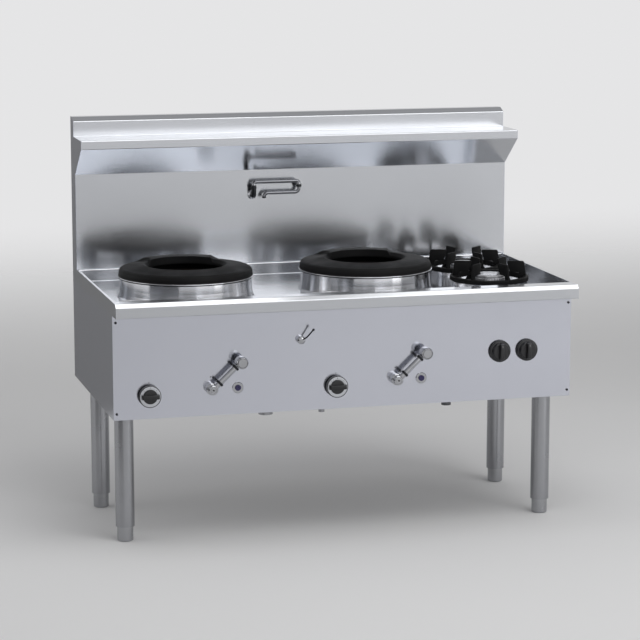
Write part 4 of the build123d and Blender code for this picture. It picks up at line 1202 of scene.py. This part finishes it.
# ------------------------------------------------------------------ controls on the panel
@dataclass
class PilotKnob(Assembly):
    """Fluted knob with a grip bar, and a metal dial ring with plain marks."""

    side: str
    radius: float = 35.0
    bore: float = 4.05
    rear: float = 5.3
    rim: float = 20.0
    face: float = 22.0
    dial_inner: float = 22.6
    dial_outer: float = 32.4
    hub_rise: float = 4.5
    bar_width: float = 15.0
    bar_top: float = 34.0
    bar_reach: float = 28.5
    bar_tail: float = 27.5
    flutes: int = 60
    flute_depth: float = 0.7
    mark_circle: float = 28.5
    mark_turns: tuple[int, float, float] = (3, 135.0, -45.0)
    index_gap: float = 6.0
    slot = Slot.KNOB

    def build(self) -> None:
        """Build the knob, dial ring and marks, and dress the stem."""
        node, stem = f"{self.side}_pilot_knob", f"{self.side}_pilot_stem"
        self.dress(STEM_STEEL, stem)
        place = placed(Facing.FRONT, on_panel(middle(stem).x, middle(stem).z))
        body = turned_mesh(self.body_row, even_angles(self.flutes * 4), False)
        inner, top = self.dial_inner - 0.3, self.face + self.hub_rise
        hub = lathe([(inner, self.rim - 1.0, 0.0), (inner, top, 1.6), (0.0, top, 0.0)])
        knob = join([body, hub, self.bar_mesh()])
        self.add(f"{self.side}_fluted_knob", knob, place, PHENOLIC, node, [node])
        inner, outer, top = self.dial_inner, self.dial_outer, self.face - 0.1
        dial = lathe([
            (inner, self.rim, 0.0), (outer, self.rim, 0.0), (outer, top, 0.5), (inner, top, 0.5),
        ], True)
        self.add(f"{self.side}_dial_ring", dial, place, DIAL_ALUMINIUM, node, slot=Slot.CHROME)
        self.ring_array(
            f"{self.side}_dial_marks", strip(2.6, 0.9, 0.0, 0.4, 0.08), BLACK_MARK_AND_SHADE,
            self.mark_circle, self.mark_turns,
            place @ Matrix.Translation((0, 0, self.face - 0.22)), node,
        )
        index_place = place @ Matrix.Translation((0, self.radius + self.index_gap, 0))
        index = strip(0.8, 5.0, 0.0, 0.25, 0.05)
        self.add(f"{self.side}_index_line", index, index_place, BLACK_MARK_AND_SHADE, "body")

    def body_row(self, angle: float) -> list[Point]:
        """Section of the knob's body; its side is fluted."""
        dip = self.flute_depth * (0.5 - 0.5 * math.cos(angle * self.flutes))
        r, rear, rim, face = self.radius, self.rear, self.rim, self.face
        side, dial = r - 0.2 - dip, self.dial_outer
        return [
            (self.bore, rear), (r - 4.0, rear), (r - 1.4, rear + 1.2), (r - 0.4, rear + 3.2),
            (side, rear + 4.2), (side, rim), (r - 0.5, face - 0.6), (r - 1.2, face),
            (dial + 0.5, face), (dial + 0.1, face - 0.5), (dial + 0.1, rim), (20.0, rim),
        ]

    def bar_mesh(self) -> Mesh:
        """Grip bar across the hub, narrower towards its top."""
        low, top, tail, reach = self.face + 1.0, self.bar_top, -self.bar_tail, self.bar_reach
        return slab([
            (tail, low), (reach, low), (reach, top - 3.0), (reach - 2.0, top),
            (tail + 4.0, top), (tail, top - 5.0),
        ], self.bar_width, 1.6, 1.2)


@dataclass
class BurnerKnob(Assembly):
    """Black knob with a flange, a waist and a straight grip bar with a grey pointer line, partly a
    painted highlight.
    """

    row: str
    radius: float = 35.5
    low: float = 4.0
    mid: float = 11.0
    top: float = 21.0
    waist: float = 28.0
    bar_width: float = 15.0
    bar_top: float = 35.0
    stem_radius: float = 4.0
    stem_low: float = -20.0
    slot = Slot.KNOB

    def build(self) -> None:
        """Build the knob and its pointer line, which is partly a painted highlight."""
        node = f"{self.row}_burner_knob"
        place = placed(Facing.FRONT, on_panel(middle(node).x, middle(node).z))
        upright = Matrix.Rotation(QUARTER, 4, "Z")
        bar = self.bar_mesh()
        bar.transform(upright)
        knob = join([self.body_mesh(), bar])
        self.add(f"{self.row}_flanged_knob", knob, place, PHENOLIC, node, [node])
        # Grey line on the bar's top end: a pointer, drawn where the knob shows a small highlight,
        # so partly a painted highlight.
        line = strip(3.5, 1.8, self.bar_top - 0.2, self.bar_top + 0.15, 0.05)
        line.transform(upright @ Matrix.Translation((self.waist - 9.5, 0, 0)))
        self.add(f"{self.row}_knob_pointer", line, place, GREY_MARK_AND_HIGHLIGHT, node)

    def body_mesh(self) -> Mesh:
        """Stem, flange and waist."""
        r, low, mid, top = self.radius, self.low, self.mid, self.top
        stem, foot, waist = self.stem_radius, self.stem_low, self.waist
        return lathe([
            (0.0, foot, 0.0), (stem, foot, 0.5), (stem, 1.0, 0.0), (8.0, 1.0, 0.5), (8.0, low, 0.0),
            (r - 1.0, low, 1.0), (r, low + 1.5, 1.0), (r, mid - 2.5, 1.2), (r - 2.5, mid, 1.5),
            (waist + 1.0, mid + 0.6, 1.2), (waist - 1.2, top - 2.0, 1.5), (waist - 4.0, top, 2.5),
            (0.0, top, 0.0),
        ])

    def bar_mesh(self) -> Mesh:
        """Grip bar, lying along X, narrower towards its top."""
        reach, low, top = self.waist - 1.0, self.top - 1.0, self.bar_top
        return slab([
            (-reach, low), (reach, low), (reach - 1.5, top - 3.0), (reach - 4.0, top),
            (-reach + 4.0, top), (-reach + 1.5, top - 3.0),
        ], self.bar_width, 2.4, 1.8)


@dataclass
class GasLever(Assembly):
    """Boss and cap on the panel, a round rod with two collars and a round grip."""

    side: str
    boss_radius: float = 18.5
    boss_depth: float = 28.0
    cap_radius: float = 15.0
    cap_depth: float = 44.5
    stem_radius: float = 4.0
    stem_low: float = -18.0
    rod_radius: float = 8.5
    rod_off_panel: float = 35.0
    rod_start: float = 10.0
    rod_into_grip: float = 9.0
    collar_radius: float = 12.5
    collar_width: float = 8.0
    collar_from_ends: Point = (26.0, 20.0)
    grip_radius: float = 19.0
    grip_low: float = 26.0
    grip_face: float = 61.0
    groove_radii: Point = (14.0, 15.0)
    mark_above: float = 35.0

    def build(self) -> None:
        """Build the boss, rod, collars, grip and the printed dot above the boss."""
        node, grip = f"{self.side}_gas_lever", f"{self.side}_lever_grip"
        low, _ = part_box(node)
        boss = on_panel(low.x + self.boss_radius * MM, low.z + self.boss_radius * MM)
        end = on_panel(middle(grip).x, middle(grip).z)
        on_boss, on_grip = placed(Facing.FRONT, boss), placed(Facing.FRONT, end)
        off = mm(0.0, -self.rod_off_panel, 0.0)
        along = aimed(boss + off, end + off)
        length = (end - boss).length / MM
        # The screw head is drawn black: painted shade of the cap's screw hollow.
        screw = dot(2.3, self.cap_depth - 1.4, self.cap_depth - 0.9, 0.2)
        mark = dot(2.0, 0.02, 0.22, 0.1)
        above = placed(Facing.FRONT, boss + mm(0.0, 0.0, self.mark_above))
        for label, mesh, place, finish, body, nodes in (
            ("lever_boss", self.boss_mesh(), on_boss, BRIGHT_CHROME, node, [node]),
            ("lever_screw", screw, on_boss, BLACK_MARK_AND_SHADE, node, []),
            ("lever_rod", self.rod_mesh(length), along, BRIGHT_CHROME, node, []),
            ("lever_collars", self.collars(length), along, DARK_CHROME_AND_SHADE, node, []),
            ("round_grip", self.grip_mesh(), on_grip, BRIGHT_CHROME, node, [grip]),
            ("grip_inset", self.groove_shade_mesh(), on_grip, BLACK_MARK_AND_SHADE, node, []),
            ("open_mark", mark, above, BLACK_MARK_AND_SHADE, "body", []),
        ):
            self.add(f"{self.side}_{label}", mesh, place, finish, body, nodes)

    def boss_mesh(self) -> Mesh:
        """Boss on its stem, with a stepped cap that has a groove and a hollow for its screw."""
        r, cap, depth, step = self.boss_radius, self.cap_radius, self.cap_depth, self.boss_depth
        stem, foot = self.stem_radius, self.stem_low
        return lathe([
            (0.0, foot, 0.0), (stem, foot, 0.4), (stem, 0.3, 0.0), (r - 1.4, 0.3, 0.4),
            (r, 1.6, 0.8), (r, step - 1.6, 1.0), (r - 1.8, step, 1.0), (cap + 0.4, step + 0.1, 0.3),
            (cap - 1.0, step + 0.9, 0.4), (cap - 1.0, step + 2.2, 0.4), (cap, step + 3.0, 0.5),
            (cap, depth - 2.0, 1.4), (cap - 2.2, depth, 1.0), (9.6, depth, 0.3),
            (9.2, depth - 0.6, 0.2), (8.4, depth - 0.6, 0.2), (8.0, depth, 0.3), (3.2, depth, 0.4),
            (2.7, depth - 1.5, 0.3), (0.0, depth - 1.5, 0.0),
        ], False, 72)

    def rod_mesh(self, length: float) -> Mesh:
        """Round rod from inside the boss to inside the grip."""
        r, start = self.rod_radius, self.rod_start
        end = length - self.grip_radius + self.rod_into_grip
        outline = [(0.0, start, 0.0), (r, start, 0.8), (r, end, 0.8), (0.0, end, 0.0)]
        return lathe(outline, False, 48)

    def collars(self, length: float) -> Mesh:
        """Two collars round the rod with rounded edges, near its ends."""
        near, far = self.collar_from_ends
        starts = (near, length - far - self.collar_width)
        return join(
            sleeve(self.rod_radius - 0.2, self.collar_radius, z, z + self.collar_width, 1.6)
            for z in starts
        )

    def grip_mesh(self) -> Mesh:
        """Round grip with a groove near the edge of its face."""
        r, low, face = self.grip_radius, self.grip_low, self.grip_face
        inner, outer = self.groove_radii
        return lathe([
            (0.0, low, 0.0), (r - 1.5, low, 1.2), (r, low + 2.0, 1.2), (r, face - 4.0, 2.0),
            (r - 2.4, face - 0.6, 1.6), (r - 3.6, face, 0.6), (outer + 0.1, face - 0.1, 0.2),
            (outer, face - 1.2, 0.2), (inner, face - 1.2, 0.2), (inner - 0.1, face - 0.1, 0.2),
            (inner - 1.2, face, 0.5), (0.0, face - 0.4, 0.0),
        ], False, 72)

    def groove_shade_mesh(self) -> Mesh:
        """Black ring in the groove of the grip's face: painted shade of the groove."""
        (inner, outer), low, high = self.groove_radii, self.grip_face - 1.2, self.grip_face - 0.7
        return lathe([
            (inner, low, 0.0), (outer, low, 0.0), (outer, high, 0.1), (inner, high, 0.1),
        ], True, 64)


@dataclass
class SparkButtons(Assembly):
    """The two bezels and their buttons."""

    def build(self) -> None:
        """Dress the bezels and buttons."""
        self.dress(BRIGHT_CHROME, "igniter_bezels")
        self.dress(BUTTON_NYLON, *(f"{side}_igniter_button" for side in SIDES))


@dataclass
class WaterLever(Assembly):
    """Small domed hub on the panel and a thin bent rod with a ball at its end."""

    hub_radius: float = 12.0
    boss_depth: float = 14.0
    hub_depth: float = 8.0
    stem_radius: float = 4.0
    stem_low: float = -18.0
    rod_radius: float = 2.3
    rod_bend: float = 14.0
    elbow: Point = (15.0, 11.0)
    reach: float = 48.7
    lean: float = 46.4
    off_panel: float = 36.0
    ball_radius: float = 4.0
    ball_steps: int = 12

    def build(self) -> None:
        """Build the hub, rod and ball."""
        node = "water_lever"
        low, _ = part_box(node)
        centre = on_panel(low.x + self.hub_radius * MM, low.z + self.hub_radius * MM)
        place = placed(Facing.FRONT, centre)
        self.add("water_lever_hub", self.hub_mesh(), place, BRIGHT_CHROME, node, [node])
        turn = math.radians(self.lean)
        root_off = self.boss_depth + self.hub_depth / 2
        run = [centre + mm(x, -off, z) for x, off, z in (
            (0.0, root_off, 0.0),
            (self.elbow[0], (root_off + self.off_panel) / 2, self.elbow[1]),
            (self.reach * math.cos(turn), self.off_panel, self.reach * math.sin(turn)),
        )]
        sizes = (self.rod_radius, self.rod_bend, 16)
        self.bar("water_lever_rod", run, sizes, DARK_CHROME_AND_SHADE, node)
        tip, r = run[-1], self.ball_radius
        turns = [math.pi * k / self.ball_steps for k in range(self.ball_steps + 1)]
        ball = lathe([(r * math.sin(t), -r * math.cos(t), 0.0) for t in turns], False, 32)
        self.add("water_lever_ball", ball, aimed(tip, 2 * tip - run[1]), DARK_CHROME_AND_SHADE, node)

    def hub_mesh(self) -> Mesh:
        """Domed hub on its stem."""
        r, low, top = self.hub_radius, self.boss_depth + 0.3, self.boss_depth + self.hub_depth
        stem, foot = self.stem_radius, self.stem_low
        return lathe([
            (0.0, foot, 0.0), (stem, foot, 0.4), (stem, low, 0.0), (r, low, 0.5),
            (r, top - 4.2, 1.2), (9.0, top - 1.8, 3.0), (5.0, top - 0.5, 3.0), (0.0, top, 0.0),
        ], False, 64)


# ------------------------------------------------------------------ tap
@dataclass
class FoldingTap(Assembly):
    """Wall flange and post, an upper arm that turns on it and a spout under the arm's end."""

    flange_radius: float = 15.0
    flange_depth: float = 6.0
    neck_depth: float = 8.0
    post_radius: float = 8.0
    post_bend: float = 9.0
    neck_drop: float = 46.0
    off_wall: float = 30.0
    root_depth: float = 5.0
    half_hub: float = 12.0
    joint_gap: float = 0.3
    arm_radius: float = 6.5
    arm_bend: float = 9.0
    arm_end: float = 9.5
    arm_collar: float = 8.0
    spout_radius: float = 6.0
    spout_bend: float = 14.0
    spout_back: float = 121.0
    spout_above_low: float = 17.0
    nut_radius: float = 9.4
    nut_ends: Point = (-10.0, -3.0)
    cuff_ends: Point = (-8.0, 0.0)
    outlet_lift: float = 1.0
    nozzle_radius: float = 6.8
    screw_section: Outline = ((0.0, 0.0, 0.0), (1.9, 0.0, 0.1), (1.7, 1.6, 0.6), (0.0, 2.0, 0.0))
    screw_circle: float = 11.0
    screw_turns: tuple[int, float, float] = (3, 90.0, 120.0)
    tube_wall: float = 0.4
    sides: int = 32

    def build(self) -> None:
        """Build the three parts of the tap, from the wall to the outlet."""
        low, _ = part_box("tap_body")
        neck = Vector((
            middle("tap_body").x, low.y + (self.off_wall + self.post_radius) * MM,
            low.z + self.flange_radius * MM,
        ))
        root = neck + mm(0.0, -self.off_wall, self.neck_drop)
        elbow = Vector((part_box("tap_upper_arm")[1].x - self.arm_end * MM, root.y, root.z))
        self.build_flange(placed(Facing.FRONT, neck))
        self.build_post(neck, root)
        self.build_arm(root, elbow)
        self.build_spout(elbow)

    def build_flange(self, place: Matrix) -> None:
        """Flange on the wall with three screws."""
        r, depth, post, neck = (
            self.flange_radius, self.flange_depth, self.post_radius, self.neck_depth
        )
        flange = lathe([
            (0.0, 0.0, 0.0), (r, 0.0, 0.3), (r, 2.4, 1.2), (r - 3.0, depth - 0.6, 2.0),
            (post + 0.6, depth, 0.8), (post - 0.4, neck, 0.4), (0.0, neck, 0.0),
        ], False, 64)
        self.add("tap_wall_flange", flange, place, BRIGHT_CHROME, "body", ["tap_body"])
        # The flange screws are drawn dark grey: painted shade of their recesses.
        self.ring_array(
            "tap_flange_screws", lathe(self.screw_section, False, 16), DARK_CHROME_AND_SHADE,
            self.screw_circle, self.screw_turns,
            place @ Matrix.Translation((0, 0, depth - 2.2)), "body",
        )

    def build_post(self, neck: Vector, root: Vector) -> None:
        """Neck that bends up into the post, and its union nut."""
        top = root - mm(0.0, 0.0, self.half_hub + self.joint_gap)
        start = neck - mm(0.0, self.root_depth, 0.0)
        run = [start, Vector((neck.x, root.y, neck.z)), top]
        sizes = (self.post_radius, self.post_bend, self.sides)
        # The post is drawn dark grey: painted shade.
        self.bar("tap_post", run, sizes, DARK_CHROME_AND_SHADE, "body")
        inner, (low, high) = self.post_radius - self.tube_wall, self.nut_ends
        nut = sleeve(inner, self.nut_radius, low, high, 1.0)
        self.add("tap_post_nut", nut, placed(Facing.UP, top), DARK_CHROME_AND_SHADE, "body")

    def build_arm(self, root: Vector, elbow: Vector) -> None:
        """Upper arm: one tube bent down at both ends, with a collar at each end."""
        node, down = "tap_upper_arm", mm(0.0, 0.0, -self.half_hub)
        run = [root + down, root, elbow, elbow + down]
        sizes = (self.arm_radius, self.arm_bend, self.sides)
        self.bar("tap_upper_tube", run, sizes, SHADED_TUBE_CHROME, node, [node])
        inner, outer, low = self.arm_radius - self.tube_wall, self.arm_collar, -self.half_hub
        outline = [
            (inner, low, 0.0), (outer, low, 0.8), (outer, low + 6.5, 0.8), (inner, low + 7.0, 0.0),
        ]
        collars = []
        for spot in (root, elbow):
            collar = lathe(outline, True, 48)
            collar.transform(placed(Facing.UP, spot))
            collars.append(collar)
        self.add("tap_arm_collars", join(collars), PLAIN, BRIGHT_CHROME, node)

    def build_spout(self, elbow: Vector) -> None:
        """Lower arm: a cuff under the upper arm, a tube back and a turned-down outlet."""
        node = "tap_spout"
        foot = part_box(node)[0].z
        level = foot + self.spout_above_low * MM
        outlet = Vector((elbow.x - self.spout_back * MM, elbow.y, foot + self.outlet_lift * MM))
        top = elbow - mm(0.0, 0.0, self.half_hub + self.joint_gap)
        run = [top, Vector((elbow.x, elbow.y, level)), Vector((outlet.x, outlet.y, level)), outlet]
        sizes = (self.spout_radius, self.spout_bend, self.sides)
        self.bar("tap_spout_tube", run, sizes, SHADED_TUBE_CHROME, node, [node])
        nozzle = lathe([
            (4.6, -1.0, 0.2), (self.nozzle_radius, -1.0, 0.6), (self.nozzle_radius, 4.5, 0.8),
            (5.0, 4.5, 0.2),
        ], True, 48)
        self.add("tap_nozzle", nozzle, placed(Facing.UP, outlet), DARK_CHROME_AND_SHADE, node)
        inner, (low, high) = self.spout_radius - self.tube_wall, self.cuff_ends
        cuff = sleeve(inner, self.nut_radius, low, high, 0.8)
        self.add("tap_spout_cuff", cuff, placed(Facing.UP, top), DARK_CHROME_AND_SHADE, node)


# ------------------------------------------------------------------ studio
@dataclass(frozen=True)
class Lamp:
    """Rectangular soft box.

    Attributes:
        name: Its name.
        place: Its place, in metres.
        target: The point it faces.
        size: Its width and height, in metres.
        power: Its power, in watts.
    """

    name: str
    place: Spot
    target: Spot
    size: Point
    power: float

    def build(self) -> None:
        """Hang the lamp, which the camera doesn't see."""
        light = bpy.data.lights.new(self.name, "AREA")
        light.shape = "RECTANGLE"
        light.size, light.size_y = self.size
        light.energy = self.power
        lamp = bpy.data.objects.new(self.name, light)
        lamp.visible_camera = False
        lamp.location = self.place
        aim = Vector(self.target) - Vector(self.place)
        lamp.rotation_euler = aim.to_track_quat("-Z", "Y").to_euler()
        bpy.context.scene.collection.objects.link(lamp)


@dataclass(frozen=True)
class Card:
    """Upright board that shows in reflections alone.

    Attributes:
        name: Its name.
        finish: Its finish.
        start: One end on the plan, in metres.
        end: The other end.
        top: Height of its upper edge.
    """

    name: str
    finish: Finish
    start: Point
    end: Point
    top: float

    def build(self) -> None:
        """Stand the board on the floor."""
        card = sheet_object(self.name, (
            (*self.start, 0.0), (*self.end, 0.0), (*self.end, self.top), (*self.start, self.top),
        ), self.finish)
        card.visible_camera = False
        card.visible_diffuse = False
        card.visible_shadow = False


@dataclass
class Studio:
    """Pale floor, soft light and the camera at the photograph's angle."""

    floor_half: float = 11.0
    camera_place: Spot = (-2.0000, -7.4712, 1.9986)
    camera_turn: float = 0.26169
    camera_tilt: float = -0.17373
    lens: float = 134.25
    sky_colour: str = "F0F0F1"
    sky_fade: Point = (0.25, 0.95)
    horizon_light: float = 0.62
    seen_light: float = 0.9
    zenith_light: float = 0.34
    lamps: tuple[Lamp, ...] = (
        Lamp("Top_soft_box", (0.95, -1.6, 4.0), (0.3, -0.1, 0.9), (3.5, 2.0), 48.0),
        Lamp("Lip_strip_box", (-0.35, -0.42, 3.4), (-0.35, -0.4, 0.8), (1.5, 0.9), 9.0),
        Lamp("Right_low_soft_box", (3.1, -3.5, 1.0), (-0.1, -0.3, 1.0), (1.3, 1.9), 13.0),
        Lamp("Left_low_soft_box", (-3.5, 0.1, 1.3), (-0.4, -0.1, 1.2), (1.9, 1.3), 4.5),
        Lamp("Front_right_soft_box", (2.2, -6.2, 2.4), (0.2, 0.0, 0.9), (4.0, 1.8), 36.0),
        Lamp("Floor_wash", (2.6, -4.6, 3.2), (2.0, -3.6, 0.0), (2.5, 2.5), 26.0),
        Lamp("Left_floor_wash", (-4.6, 1.2, 3.0), (-4.4, 1.0, 0.0), (2.5, 3.5), 16.0),
    )
    cards: tuple[Card, ...] = (
        Card("Left_rear_card", GREY_BOARD, (-1.45, 1.65), (-0.75, 1.65), 1.2),
        Card("Front_left_card", BLACK_BOARD, (-1.39, -2.25), (-2.62, -0.64), 1.25),
    )

    def build(self) -> None:
        """Make the floor, world, lamps, cards and camera."""
        half = self.floor_half
        sheet_object("Floor", (
            (-half, -half, 0.0), (half, -half, 0.0), (half, half, 0.0), (-half, half, 0.0),
        ), PALE_FLOOR)
        self.world()
        for thing in (*self.lamps, *self.cards):
            thing.build()
        self.camera()

    def world(self) -> None:
        """Pale surroundings, darker overhead, and paler where they are seen or reflected."""
        world = bpy.data.worlds.new("Studio")
        world.use_nodes = True
        tree = world.node_tree
        tree.nodes.clear()
        way = add_node(tree, "ShaderNodeTexCoord").outputs["Generated"]
        parts = add_node(tree, "ShaderNodeSeparateXYZ", {"Vector": way})
        path = add_node(tree, "ShaderNodeLightPath").outputs
        seen = path["Is Camera Ray"]
        for ray in ("Is Glossy Ray", "Is Transmission Ray"):
            either = add_node(tree, "ShaderNodeMath", {0: seen, 1: path[ray]}, operation="MAXIMUM")
            seen = either.outputs[0]
        low = add_node(tree, "ShaderNodeMapRange", {
            "Value": seen, "From Min": 0.0, "From Max": 1.0, "To Min": self.horizon_light,
            "To Max": self.seen_light,
        })
        level = add_node(tree, "ShaderNodeMapRange", {
            "Value": parts.outputs["Z"], "From Min": self.sky_fade[0],
            "From Max": self.sky_fade[1], "To Min": low.outputs["Result"],
            "To Max": self.zenith_light,
        })
        glow = add_node(tree, "ShaderNodeBackground", {
            "Color": linear(self.sky_colour), "Strength": level.outputs["Result"],
        })
        add_node(tree, "ShaderNodeOutputWorld", {"Surface": glow.outputs[0]})
        bpy.context.scene.world = world

    def camera(self) -> None:
        """Camera at the photograph's place and angle."""
        data = bpy.data.cameras.new("Camera")
        data.lens = self.lens
        data.sensor_width = 36.0
        data.clip_end = 200.0
        camera = bpy.data.objects.new("Camera", data)
        camera.location = self.camera_place
        camera.rotation_euler = (QUARTER + self.camera_tilt, 0.0, -self.camera_turn)
        bpy.context.scene.collection.objects.link(camera)
        bpy.context.scene.camera = camera


def main() -> None:
    """Build every sub-assembly in order."""
    logging.basicConfig(level=logging.INFO, format="%(name)s: %(message)s")
    bpy.context.scene.view_settings.view_transform = "Standard"
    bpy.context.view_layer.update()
    assemblies: list[Assembly] = [Cabinet(), Pipework()]
    for kind, places in (
        (WokStation, SIDES), (OpenBurner, ROWS), (PilotKnob, SIDES), (GasLever, SIDES),
        (BurnerKnob, ROWS),
    ):
        assemblies += [kind(place) for place in places]
    assemblies += [SparkButtons(), WaterLever(), FoldingTap()]
    for assembly in assemblies:
        LOG.info("building %s", type(assembly).__name__)
        assembly.build()
    Studio().build()


if __name__ == "__main__":
    main()
